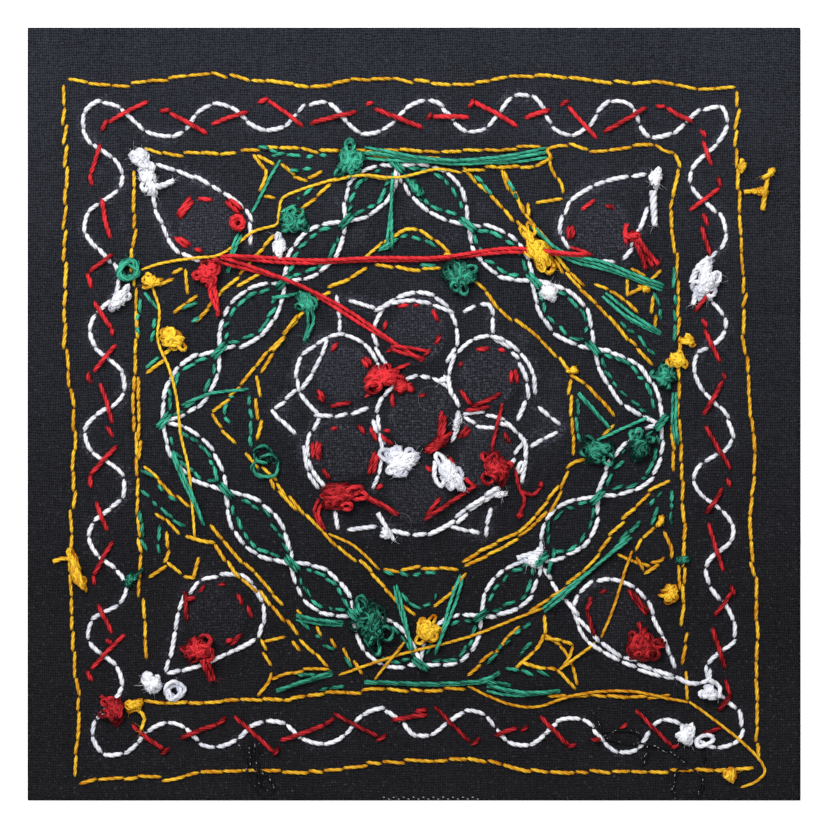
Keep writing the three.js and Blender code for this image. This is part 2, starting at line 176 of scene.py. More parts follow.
# Dust on the cloth: at the mirrors' rims, on the plateaus, along drawn lines, and less toward the bottom
RIM_DUST = {"strength": 0.75, "radius": 6.0, "width": 0.6, "even": 0.55, "patchy": 0.45}
PLATEAU_DUST = {"strength": 0.24, "fade": (5, 6.2)}
CHALK_LINE = {"strength": 0.5, "waves": (2.9, 3.7)}
LOW_DUST = {"share": 0.3, "fade": (-60, 10)}

# Mirrors and collars: reaches and levels of a collar's spokes and rims, in millimetres
GLASS_BEVEL = 0.15
GLASS_SIDES = 48
COLLAR = {"stitches": 26, "inner": 4.9, "over": 0.1, "edge": 0.4, "levels": (0.45, 0.35, 0.5), "step": 0.8,
          "spoke": 0.34, "rim": 0.36, "rim_levels": (0.45, 0.6), "rim_points": 41, "sides": 5, "tone": 0.5}

# Leaves of the garland, the green stitches at its crossings, and the bend of a red stitch
LEAF_POINTS = 9
LEAF_INSET = 1.45
CROSS_HALF = 2.2
CROSS_SHIFTS = (-0.4, 0.4)
RED_BEND = 0.12
RING_POINTS = 9

# Dark ends, the pale flecks on them and at the lower edge, and two thin loops: x, y, radius
DARK_STRANDS = 2
DARK_HEIGHT = 0.4
FLECK = {"cut": 0.2, "high": 0.05, "sides": 4}
FLECKS = {"step": 0.8, "missing": 0.4, "half": (0.12, 0.32), "bend": 0.06, "stray": 0.18,
          "thick": (0.05, 0.11), "tones": (-0.9, 1.3)}
EDGE_FLECKS = {"first": -7, "last": 16, "pitch": 1.15, "y": -89.2, "drop": 0.4, "half": 0.2, "slant": 0.1,
               "thick": 0.1, "tone": 1.2}
PALE_LOOPS = [(4, 3.5, 3), (-3.2, -25.6, 2.6)]
PALE_LOOP = {"points": 33, "high": 0.05, "thick": 0.05, "sides": 3, "tone": 0.0}

# Height reached by everything laid so far is kept on a square grid
PILE_STEP = 0.4
PILE_REACH = 95
PILE_SHARE = 0.7
SEAT_WEIGHTS = (0.1, 0.2, 0.4, 0.2, 0.1)


def middle(node):
    """The middle of a node's box in plan, in millimetres."""
    low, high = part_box(node)
    return tuple((low + high) / 2 / MM)[:2]


MIRROR_NODES = [name for name in sorted(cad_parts) if name.startswith("mirror_")]
MIRRORS = {name.removeprefix("mirror_"): middle(name) for name in MIRROR_NODES}
CLOTH_SIDE = (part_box("cloth")[1].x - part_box("cloth")[0].x) / MM
CLOTH_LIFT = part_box("cloth")[1].z / MM - SOLID_THICK

# The outer yellow frame, side by side from the top left corner on
OUTER_FRAME = [
    [(-80.4, 77.8), (-68.5, 76.6), (-48, 79), (-25.5, 76.4), (-7, 78.1), (9.5, 76.8), (27, 78.9),
     (46, 77.2), (57, 77.2), (67, 75.7), (75.2, 76.3)],
    [(75.6, 75), (75, 60), (76.5, 36), (77, 18), (79.2, -11), (78.1, -26), (79.7, -43), (79.9, -62),
     (80, -81)],
    [(79, -82.8), (58, -83.2), (28, -83.2), (16, -80.8), (-5, -81), (-22, -83), (-47, -83.2), (-57, -84.9),
     (-72, -84.9), (-78, -86.2)],
    [(-79, -84.3), (-78.3, -78), (-77.8, -70), (-79.3, -55), (-80.2, -33), (-79.1, -16), (-79.3, -2),
     (-80.8, 14), (-81.2, 36), (-81, 60), (-81.6, 77)],
]

# The inner yellow frame, run by run
INNER_FRAME = [
    [(-62.5, 62), (-57, 60.5), (-50, 60.8), (-41, 60.7)],
    [(-40.2, 61.2), (-36, 61.6), (-28, 61.9), (-20, 61.1), (-3, 61.5), (8, 61), (20, 61.5), (30, 62.4)],
    [(31, 61.5), (35, 63), (42, 61.2), (54, 62.8), (58, 61.2), (60.8, 61)],
    [(61, 60.5), (61.7, 57), (60.3, 51), (59.8, 46), (61, 36), (61.8, 24), (61.5, 5), (62.3, -10),
     (62.4, -20), (63, -38), (62, -49.5)],
    [(63.5, -51), (62.6, -59)], [(63.4, -60), (63.8, -66.5)], [(59.5, -66.1), (45, -65.6), (31, -65.8)],
    [(12, -64.1), (-4, -64.3), (-10, -63.9), (-15, -64.9), (-27, -65.7), (-30, -66.7), (-41, -66.4),
     (-48, -67.4), (-53, -67.4), (-63, -67)],
    [(-62.2, -57), (-62.6, -50), (-63.6, -40), (-64, -30), (-64.6, -15), (-65.2, 2), (-64.9, 12),
     (-64.7, 22), (-65.2, 34), (-65, 46), (-65.4, 57)],
    [(-64.1, 8.5), (-63.9, -11)],
]

# Outer and inner turns of the white wave border, clockwise from the top left corner
WAVE = [
    (-72.5, 72.6), (-58, 64.4), (-46, 72.2), (-33.5, 66), (-21.5, 72.7), (-10.8, 65), (3, 73), (14, 65.5),
    (25.5, 74.4), (36, 64.8), (48, 73), (56, 64.4), (70, 71.8), (72.6, 66.5), (64.4, 55), (72.7, 43),
    (66.5, 31.5), (72.5, 20), (64.9, 11), (74.2, -5), (65.4, -15), (74.6, -27), (67.9, -36), (74.9, -51),
    (68, -60), (76.6, -72.5), (70, -77.8), (58.5, -71.3), (49.5, -79), (37, -70.6), (25, -77.2),
    (13.5, -69.2), (1.5, -75), (-8, -68.5), (-20.5, -77), (-34, -71.6), (-46, -77.6), (-57.5, -71.8),
    (-70, -79.8), (-74.5, -73), (-67.9, -62.5), (-75.8, -50.5), (-67.1, -41), (-75.5, -28.5),
    (-67.2, -16.5), (-76.6, -5), (-67.3, 6.5), (-75.4, 19), (-68.6, 31), (-76.7, 44.5), (-68, 55),
    (-77.1, 66.5),
]

# Red stitches laced over the wave: x and y of one end, then of the other
RED_LACE = [
    (-71, 68, -62, 72.8), (-56.7, 70, -48.3, 65.3), (-47, 67.5, -38.8, 70.3), (-34, 73, -26, 67),
    (-24, 67.7, -13.5, 70.3), (-9, 71, 1.8, 66.7), (4.5, 69.2, 12.7, 69.1), (13.8, 72.7, 24, 67),
    (26, 69, 31.5, 70.8), (36, 71.5, 42.5, 64.2), (44.3, 65.7, 54, 71.3), (59, 71.2, 64.8, 68),
    (67.3, 63.5, 69.2, 58), (71, 52.5, 64.3, 47.5), (67, 43.5, 69, 37), (69.5, 29.5, 65.5, 24),
    (67.7, 19.5, 71.2, 12.3), (71.8, 7.5, 67.4, 0), (68, -3, 73.8, -12.8), (71.8, -17.5, 68, -23),
    (68.6, -25.5, 72, -36.5), (74, -41.5, 70, -47), (69.5, -50, 72.3, -59), (72.5, -62, 73.7, -65.5),
    (73.7, -65.5, 71, -69), (71.5, -73, 67, -74.7), (51.8, -69, 60, -77.3), (29.5, -70.5, 36, -77.2),
    (19, -74.7, 24, -73), (5, -68.2, 13, -76.3), (3, -70, -5, -71.2), (-18.5, -69.8, -8.5, -75),
    (-31, -76, -21, -72.5), (-41.7, -70.5, -32.3, -79), (-54.3, -75.5, -46, -72.3),
    (-65.5, -72.5, -58.5, -78), (-67.5, -51.5, -75, -59.3), (-73.5, -44.5, -70.3, -51),
    (-70.2, -29.7, -74.5, -37.5), (-74, -20.5, -71.5, -27), (-69.3, -7.5, -75.2, -14), (-73, 7, -70.3, -2),
    (-69.5, 16, -74.5, 10), (-74.3, 26, -70.5, 20), (-70.3, 37, -75.5, 33.2), (-72.5, 50, -70.7, 41),
    (-73, 62.7, -75.2, 56),
]

# Short red stitches that end the lacing, in the same columns
RED_TICKS = [
    (-72.7, 66, -71.5, 68.3), (-59, 70.6, -57, 70.8), (-36.2, 72.5, -34, 73.5), (-11, 72, -9.5, 72.5),
    (3, 68.7, 4, 70), (12.8, 71.5, 13.8, 73.2), (34.2, 72, 36, 72.8), (56.5, 71.8, 58.4, 71.6),
    (66.8, 66, 67.8, 64.6), (70.8, 55, 71.3, 53), (67.5, 46.5, 68.3, 44), (67.3, 22, 68, 20.3),
    (72, 9.5, 72.3, 8), (73, -15.2, 73.5, -16.8), (73.8, -40, 74.5, -42), (60, -77.6, 61.6, -77),
    (49.5, -72, 48.1, -73.2), (41.5, -75.7, 43.5, -75.7), (36, -77.4, 37.6, -77), (25, -73.8, 26.5, -72.7),
    (13.5, -77, 15.3, -75.5), (0.5, -69.3, 2.8, -68.8), (-8.5, -76, -6.5, -74.7),
    (-20.8, -72.3, -18.7, -71), (-32.6, -79.3, -31.4, -77.8), (-45.8, -72.3, -43.8, -70.7),
    (-58.7, -79, -57, -78), (-76, -60, -75, -62), (-71.5, -52.5, -70.4, -53.5),
    (-74.6, -37.8, -74.4, -39.7), (-75.3, -14.4, -75.2, -17), (-71.5, -3, -70.2, -5.2),
    (-75.8, 9.5, -75.3, 7.3), (-70.4, 20, -70.3, 18.3), (-76, 32.5, -75.2, 29.5), (-75.3, 55.8, -75, 53.3),
]

# White rings of the flower: middle, radius, and the two angles in degrees of each row
RINGS = [
    (1, -1, 9.7, -38, 218), (0.5, 18.4, 9.8, -46, 228), (17.8, 8.5, 9.7, 86, 206),
    (-17.3, 9.3, 9.2, -14, 106),
]

# Second rounds of the flower's petals, and the small petals outside
FLOWER_LINES = [
    [(-9.2, 24.3), (-3, 26.2), (3, 25.8), (9.4, 23.4)], [(-20, 17.8), (-26, 14), (-27.6, 9), (-26.7, 5)],
    [(-20, 17.2), (-22.6, 11), (-26.5, 5.2)], [(-26.4, 4.8), (-24.4, 2.2), (-22, 0)],
    [(18.5, 17.6), (24, 13), (26.6, 5), (24, -2.5)], [(18, 18.3), (22, 16.5), (26.8, 11.5), (28.3, 4)],
    [(-25.7, -7.5), (-25, -13), (-22, -17.5)], [(11.5, -1), (15, -2.8), (20, -2.6), (23, -2.7)],
    [(11.5, 0), (16, 0.3), (21, -1.5), (24.5, -4.7)], [(26, -6), (24, -8.5), (21.5, -14)],
    [(26.3, -10.5), (25, -16)], [(-15, 26.5), (-9, 24.8)], [(-18, 27.5), (-17.2, 21), (-17.3, 18.5)],
    [(11.5, 24), (14.2, 25)], [(15.5, 25.5), (18, 25), (18.4, 18.3)], [(29, 1.5), (34.5, -3)],
    [(33.5, -4.5), (26.5, -8)], [(8.5, -26), (15.3, -28)], [(17.8, -22), (16.2, -29.3)],
    [(-18.3, -22.5), (-17.8, -26.8)], [(-15.3, -27.2), (-8.7, -26.3)], [(-27.3, 5.5), (-33, 1)],
    [(-33, 1), (-27.5, -4.8)], [(-23, 0), (-18, -0.5), (-10, 1.7)],
    [(-8, -24), (-5.3, -26.7), (1.5, -28.2), (8, -26.2), (13, -22.6), (20.5, -17)],
    [(9.6, -24), (15, -20), (20, -16.4)], [(-9.5, -1.5), (-7.4, -7.5), (-8, -13), (-10, -18)],
    [(-22, -0.8), (-24.8, -7), (-23.4, -13.4), (-19.6, -17.4)], [(24.5, -4.7), (26.3, -7), (26.3, -10.5)],
]

# White drops round the corner mirrors
DROP_LINES = [
    [(-60, 58), (-50, 54.5), (-43, 50.8), (-39.5, 47.5), (-37.8, 43.5), (-38.5, 38.5)],
    [(-61, 53), (-60, 47), (-58, 43), (-56, 39), (-52, 36.4), (-45, 34.7)],
    [(54, 56), (45, 54), (38, 51), (35.5, 48), (34, 44), (34.3, 41), (36.5, 38)],
    [(54.3, 48), (53, 44), (51, 40), (48.5, 35)], [(46.6, 35.2), (43.5, 35.6)],
    [(-57.8, -60), (-56.5, -55), (-55, -48), (-53.3, -41)],
    [(-52, -42), (-49, -38.2), (-43, -37.5), (-39.5, -38), (-36.5, -41), (-35, -45.5), (-35.5, -50),
     (-38, -53.3), (-46.5, -57), (-49.5, -58.5), (-58, -61)],
    [(37, -45), (38.5, -42), (42, -39), (46.5, -38.3), (50.5, -40), (54, -43.5), (56, -49), (58.5, -53),
     (61, -60)],
    [(37, -45), (38, -49), (40.5, -53), (47, -57), (53, -59.5), (61, -61.5)],
    [(30, -36), (34, -42), (37, -45.5), (42, -51.5), (48, -56), (54, -58.7), (61, -61.5)],
    [(61, -61.7), (64, -63), (68.5, -62), (68.6, -59)],
]

# Crossings of the leaf garland, clockwise from the top, with the two bulges of the leaf after each
GARLAND = [
    (-4, 57.8, 6.2, 3.4), (12.5, 44, 4.6, 4.8), (28, 31, 5, 4.6), (41.8, 15.2, 5.2, 3.6),
    (57.5, -2, 6.6, 3.2), (42.7, -19.3, 5.2, 5.4), (29.5, -34, 4.8, 4.4), (15.5, -47, 5.4, 4.6),
    (1.5, -58.2, 5.6, 4.2), (-13.8, -47, 4.8, 4.2), (-28.4, -34.8, 5.2, 4.6), (-43.8, -17.8, 4.6, 4),
    (-58.2, -1.6, 5.2, 4.6), (-45.3, 14.7, 5.6, 4.8), (-30.3, 30.8, 4.8, 4.6), (-15.8, 44.9, 5.4, 4),
]

# Yellow diamond with its four tips
DIAMOND_LINES = [
    [(-11.5, 36), (-8.5, 38.5), (-5, 41.5), (-1.7, 43.3), (2, 42), (6, 39.5), (8.5, 37)],
    [(-9, 34.8), (-5, 34.5), (0, 33.6), (6.5, 34)],
    [(-11, 34), (-16, 31), (-21, 28), (-25, 24.5), (-33, 15.5), (-40, 7), (-47, 0)],
    [(-47, 0), (-45.5, -3), (-41, -7)], [(-27, 23), (-31, 17.5), (-35.5, 9.3)],
    [(-36.7, 8.8), (-36.3, 3), (-35.8, -2), (-36.2, -6.5)],
    [(-39, -9), (-35, -13), (-30, -18), (-25, -23.5), (-21, -28), (-17, -31.5), (-12, -35), (-7.5, -40),
     (-3, -44.5), (0.5, -47)],
    [(-33.5, -15), (-32.6, -17.5)], [(-31.5, -18), (-27.5, -22.5)],
    [(-7, -36.3), (4, -35.8), (10.5, -36.2)], [(12, -37), (9, -41), (4.5, -45)],
    [(12, -35.5), (17, -33), (22, -30), (27, -27), (33, -20), (36.5, -12), (40, -10.3)],
    [(11.5, -34.6), (20, -29.6), (27, -25), (34, -16)], [(36.5, 8), (36.3, 3), (37, -3), (37.5, -10)],
    [(36.7, 9.5), (41, 6), (45, 1.5), (46.8, -1)], [(46.4, -2.4), (44, -5)],
    [(36, 10), (32.5, 14), (28, 18.5), (23, 22), (19.5, 25), (17.5, 28), (15, 30.5), (10, 35)],
]

# Yellow lines and small petals in the four corners
CORNER_LINES = {
    "ne": [
        [(11, 57), (16, 52.5), (20, 48.5), (25, 43.5), (30, 38.5), (35, 33), (40, 28), (47, 21),
         (51, 16.5), (56, 11.5)],
        [(20.5, 57), (22, 53), (26, 47)], [(21, 56.5), (24, 50), (27, 45), (32, 39.5)],
        [(33, 37), (40, 29.5)], [(32, 60), (27, 57.5), (17, 57.5), (11, 56)],
        [(31, 61.5), (32.3, 60), (31.5, 58), (34.4, 53.5), (34.8, 51)], [(34.5, 50), (28.5, 49)],
        [(26.5, 49), (26.3, 46)], [(42, 30), (47, 28), (52.5, 23.3)], [(50.5, 33.5), (54, 32.3)],
        [(49.3, 31.5), (49.6, 27.5)], [(50, 27.8), (54, 30), (57.6, 34)], [(55.5, 27.5), (55, 23.5)],
        [(56, 23), (56, 20)],
    ],
    "nw": [
        [(-37.5, 60.2), (-35, 57.5), (-34.2, 56), (-35.5, 53), (-37, 51.7)],
        [(-34.8, 50.6), (-32.4, 50.3)], [(-36.5, 60), (-32.5, 58.2)], [(-31, 58), (-28, 55.5)],
        [(-28, 55.2), (-24, 55), (-21.5, 57)],
        [(-33, 42), (-36, 37.5), (-39, 34), (-42, 31), (-46, 27), (-51, 21)],
        [(-55, 16.5), (-57, 14.5), (-62.5, 9)], [(-56, 23.7), (-50, 27.7)], [(-59.5, 30), (-53.5, 34)],
        [(-53.4, 33.6), (-52.6, 28)], [(-28.5, 45.5), (-19, 53.5)], [(-41, 29.5), (-36, 33)],
    ],
    "sw": [
        [(-63, -12.5), (-60, -15), (-54, -20.5), (-51.5, -22)], [(-60, -23), (-57, -25.5), (-54, -28)],
        [(-53, -28.4), (-50, -29.5), (-46.5, -30)],
        [(-46.5, -30.5), (-42, -36.6), (-38, -40), (-30, -48), (-27, -52)], [(-26.5, -52.5), (-19.5, -59)],
        [(-47.5, -26), (-42, -32), (-36, -38.5), (-30, -45)],
        [(-57.3, -27.5), (-57, -31), (-57.5, -34.5), (-61.5, -38.5)], [(-57.4, -34.5), (-54.5, -37.5)],
        [(-53.5, -38), (-51, -38.5)], [(-51.2, -38), (-50, -33.5)], [(-30, -52), (-35, -53)],
        [(-35.5, -52.5), (-34.3, -55)], [(-35.2, -55.6), (-33, -58.5)],
        [(-33, -60.5), (-33.5, -62.5), (-36.5, -65.5)],
        [(-33, -62), (-30, -60.5), (-25, -59.5), (-19.5, -59)], [(-27.5, -46), (-26.3, -47)],
        [(-23, -49.5), (-21.5, -51.5)], [(-19.5, -52.6), (-18, -54.2)], [(-16.5, -54.6), (-15, -58)],
        [(-14, -57.5), (-12, -60.5)], [(-28.3, -53), (-26.4, -55)],
    ],
    "se": [
        [(59.5, -15.5), (55.5, -18), (50, -23), (45.5, -29), (41, -35), (35, -40.5), (27, -46.5)],
        [(24.5, -49.5), (20, -54), (16.5, -57), (12.5, -61.5)], [(56, -26.5), (53, -29), (51, -32)],
        [(58, -27.5), (60, -31), (60, -33.5)], [(47.5, -32.5), (52, -34.5), (57, -34.5), (58.5, -33)],
        [(51.6, -33.6), (53.5, -36.5)], [(57, -35), (54, -37.5)],
        [(30.5, -51.5), (34, -54.5), (36, -57), (38.4, -63.5)], [(30.5, -51.9), (35, -53), (37.3, -54)],
        [(37.3, -54.2), (36.3, -57), (34, -59.5)], [(30.3, -47), (30.2, -51.5), (28, -55), (23, -59.5)],
        [(25, -57.5), (29, -59), (33, -59.5), (38.3, -64)], [(60.2, -0.5), (60.4, -13.5)],
        [(61.6, -35), (62, -41)],
    ],
}

# Red stitches that catch the mirrors through the cloth, as the lacing
RED_CATCHES = [
    (-19.1, 14.6, -17.9, 16.4), (-12, 12.6, -10.7, 10.8), (-11.2, 13.1, -10, 11.3),
    (-22.2, 5.4, -20.8, 3.6), (-22.4, 4.2, -21.1, 2.9), (-19.4, 1.7, -14.6, 2.7), (-3.7, 25, -1.3, 25.4),
    (0, 25.2, 1, 25.4), (4.4, 24, 5.6, 21.6), (5.1, 16.4, 5.9, 18.2), (-6.9, 19.6, -6.5, 21.4),
    (-6.3, 14.5, -5.2, 15.2), (2.4, 13.6, 3.6, 14.9), (14.7, 15, 17.3, 15.2), (19.7, 14.9, 21, 14.6),
    (10.5, 11, 11.2, 12), (22.6, 10, 22.6, 7.3), (23.7, 10.2, 24, 7.4), (10.8, 5.5, 13.5, 2),
    (20, 4.7, 13.5, 1.7), (12, 0.8, 17.5, 1.7), (1.4, 4.2, 2.7, 4.5), (-5, 4.5, -5, 1.8),
    (-6.9, -3.8, -5.6, -3.8), (-10, -3.3, -8.7, -6.2), (-7.7, -4.9, -5, -7), (6.5, 0.5, 5.9, -5.2),
    (7.2, -0.6, 6.4, -5.8), (8.9, -4.2, 2.6, -8.8), (8, -5.8, 3.4, -9), (10.4, -5.4, 12.4, -3),
    (11.4, -5.4, 13, -3.8), (21.2, -4.5, 22, -6.7), (8.4, -10.2, 9.5, -12.2), (-19.1, -3.6, -18, -3.2),
    (-12.9, -2.7, -11.6, -4.5), (-23.6, -6.8, -23.4, -10.2), (-22.5, -6.6, -22.2, -10.6),
    (-21.7, -7, -21.8, -9.8), (-21.2, -13, -19.7, -15), (-10.5, -14, -9, -8.9), (-9.6, -13.6, -8.5, -9.5),
    (-8.5, -17.4, -7.4, -16.6), (2.9, -12.2, 4.2, -13.4), (6, -19.5, 3, -23.5), (11, -14.5, 14, -16.7),
    (14.5, -16.5, 2.5, -24.5), (-52, 50.3, -55, 46.3), (-51.4, 49.4, -54.4, 45.6), (-50, 50.1, -47, 49.8),
    (-43.7, 49.3, -40.7, 46.7), (-43, 50, -40, 47.6), (-55.5, 41, -52.5, 38.8), (-54.6, 41, -52, 39.4),
    (-50.8, 38.3, -49.4, 37.8), (39, 47.5, 42, 49.7), (44.8, 48.5, 46.3, 47.7), (35.9, 43.6, 36.1, 40.6),
    (36.9, 43.5, 36.8, 41), (-53.2, -41.5, -52.8, -48), (-52.9, -43.2, -51, -42.8),
    (-49.9, -41.2, -48.7, -40.1), (-45.3, -39.8, -44, -39.5), (-41, -42, -40, -44.2),
    (-38.6, -44.8, -37.9, -47.2), (-42.7, -53.6, -40.3, -51.2), (-43.6, -53.2, -42.2, -52.4),
    (41.2, -42.8, 40.1, -45.6), (40.2, -45.8, 41.8, -51.6), (49.9, -41, 54, -46.6),
    (50.8, -41.4, 54.6, -46), (43.4, -41.4, 44.6, -41.2),
]

# Lines of small green running stitches beside the yellow ones
GREEN_RUNS = [
    [(-8, 37.8), (-3, 41.4), (2, 40.8), (5.4, 38.6)], [(1.6, 34.7), (5, 35)], [(-38.1, 4), (-37.8, -8)],
    [(-42.5, 4.3), (-44.2, 0.6), (-42.2, -3)], [(37.9, 3.4), (38.4, -7.6)],
    [(-7, -36.9), (-1, -37.4), (6, -36.7)], [(-3, -42), (0, -44.3), (3, -44.4), (6.6, -41)],
    [(-33, 60.4), (-26, 60.3)], [(-24.8, 60.4), (-19.4, 60.1)], [(-29, 56.6), (-23, 57.1)],
    [(-27, 49.8), (-22.6, 52.6)], [(-31, 47), (-27.4, 48)], [(-63.9, 26.6), (-63.7, 17.6)],
    [(-63, 28), (-60, 24.2)], [(-60.1, 22), (-61.6, 16)], [(-62.6, 11), (-59.4, 13)],
    [(-53.8, 24.2), (-50.6, 26.2)], [(-51.6, 21.4), (-49.8, 22.4)], [(-63.4, -13), (-60.6, -14.4)],
    [(-63.3, -17.6), (-60, -21), (-53, -27)], [(-63.6, -22.6), (-62.3, -33)], [(-59.6, -16.8), (-54, -21)],
    [(-59.2, -26), (-59, -33.4)], [(-26.4, -47.4), (-24.2, -50)], [(-22.6, -51.4), (-18, -55.6)],
    [(-16.4, -57), (-14.6, -59)], [(-27, -60.4), (-23, -60.2)], [(57.8, -18.2), (54, -22)],
    [(52.4, -25), (48, -30.4)], [(59.6, -18), (59.8, -26.4)], [(55, -25.6), (56.6, -21.8)],
    [(27, -48.4), (20, -54.6), (16.6, -58.6)], [(26.8, -53), (24, -57.6)], [(21.4, -59.4), (32, -60.6)],
    [(14.4, 55.6), (16.4, 52.6), (19, 50.2)], [(21.8, 54.4), (25, 48.6)], [(48.4, 21.6), (57, 13)],
    [(56.4, 28.2), (57.6, 21)], [(60.9, 27.6), (60.4, 16.6)], [(60.4, 34), (60.8, 29.4)],
    [(-22, -64), (-16, -63.2)], [(-36, 62.6), (-31, 60.6)], [(30.8, -37.4), (33, -30)],
]

# Loose threads over the stitches: strands side by side, height over the cloth, plan points
FLOATS = {
    "yellow_floats": [
        (1, 0.8, [(-63.5, 33.5), (-58, 35), (-50, 36.5), (-46, 37), (-42, 39), (-37, 42.3), (-32, 44),
         (-31.5, 47), (-30, 51), (-20, 54), (-12, 55.5), (-6, 54.8)]),
        (1, 0.8, [(-19, 54), (-12, 55.4), (-4, 55.2), (5, 57), (11, 56)]),
        (1, 0.9, [(-61, 30), (-59, 24), (-59.5, 17), (-57, 10), (-55, 2), (-54, -5), (-52.5, -12),
         (-52, -20), (-51, -29)]),
        (1, 1.0, [(-17.5, -60.7), (-1, -55.5), (13, -51.5), (30, -45.5)]),
        (1, 0.7, [(-9, -62), (-7, -59), (-4, -55), (-2, -52.5)]),
        (1, 1.2, [(51, -32), (43.5, -52)]),
        (1, 0.6, [(42, -53), (34, -59.5)]),
        (1, 0.8, [(12.5, -63.5), (17, -65.5), (23, -67.5), (29, -68), (36, -66), (44, -64.7), (52, -64.5),
         (60, -66.3), (64, -67.2)]),
        (1, 0.8, [(64, -67.2), (70, -71.5), (75, -75), (79, -78.5), (81, -81), (81.7, -83.5),
         (79.5, -85.5), (76, -86.8)]),
        (1, 0.8, [(-20, -28), (-14, -31), (-8, -36.3)]),
        (1, 0.5, [(-10, 60), (-5, 59.6), (6, 59.8)]),
    ],
    "green_float_frame_n": [
        (4, 1.4, [(-11.6, 60.8), (0, 59.5), (10, 58.5), (20, 59), (31, 61)]),
    ],
    "green_float_frame_s": [
        (2, 1.2, [(-11.5, -62.7), (3, -62.6), (18, -62.2)]),
        (2, 1.0, [(15, -62.4), (18, -61.4), (20, -60.4)]),
        (2, 1.0, [(16.4, -62.4), (22.5, -63.4)]),
        (3, 1.2, [(17, -63.6), (25, -64.8), (34, -64.6)]),
    ],
    "green_float_corner_se": [
        (2, 1.4, [(50.5, -28.6), (40, -37.4), (30, -45.5)]),
    ],
    "green_float_corner_ne": [
        (3, 1.6, [(27, 44), (35, 37), (45, 34), (58, 29.6)]),
    ],
    "green_float_point_s_w": [
        (2, 1.2, [(-4.5, -40), (-2, -48), (0, -56)]),
    ],
    "green_float_point_s_e": [
        (2, 1.2, [(11, -37.5), (8.4, -46), (5, -56)]),
    ],
    "green_float_leaf_w": [
        (2, 0.9, [(-56, -8.6), (-53.4, -16), (-49, -26)]),
    ],
    "green_floats": [
        (3, 0.9, [(44, 27.5), (50, 22.6), (57.4, 18.6)]),
        (1, 0.8, [(-31, 59), (-35, 52), (-38, 47)]),
        (2, 0.8, [(-40.6, 42), (-42, 38.6), (-43.5, 33)]),
        (2, 0.9, [(-5, 56), (-5.2, 47), (-5.7, 38.2)]),
        (1, 0.9, [(-54, 2), (-47, 5), (-38.5, 6)]),
        (3, 0.8, [(-27.4, -47.4), (-22, -48), (-16.5, -48.6)]),
        (3, 0.8, [(-32, -64.5), (-26, -62.6), (-19, -60.4)]),
        (2, 0.9, [(38.5, 5), (42, 1), (46, -4)]),
        (1, 0.9, [(42.5, -6), (48, -3.4), (55, -0.6)]),
        (2, 0.7, [(60.5, 5), (60.7, -2), (61.6, -7)]),
        (2, 0.6, [(-7.6, 38.4), (-5, 40)]),
    ],
    "red_float_across_n": [
        (2, 2.2, [(-45, 36.5), (-20, 35.6), (5, 36.4), (25, 38), (40.8, 37)]),
        (2, 1.4, [(-45, 36), (-35, 33), (-25, 29), (-10, 20), (2, 12.5)]),
        (1, 0.6, [(36.6, 39), (41.4, 36.8)]),
    ],
    "red_floats": [
        (1, 1.4, [(20.6, 2.5), (19.2, -4), (18.2, -9)]),
        (1, 0.8, [(23.4, -12.4), (24.6, -17), (26, -20), (24.5, -23.4)]),
        (1, 0.8, [(25, -17.6), (27.6, -18.6), (29.5, -16.6)]),
        (2, 0.7, [(-12.6, -18.4), (-8, -20.6), (-3.8, -23.5)]),
        (2, 0.7, [(-21.5, -20), (-22.6, -23), (-20.9, -27)]),
        (1, 0.6, [(2.4, 12.6), (-5, 15.4), (3.6, 14.6)]),
        (1, 0.6, [(-11.6, 4.2), (-6, 8)]),
        (1, 0.6, [(-1, 12), (-6, 9.6)]),
    ],
}

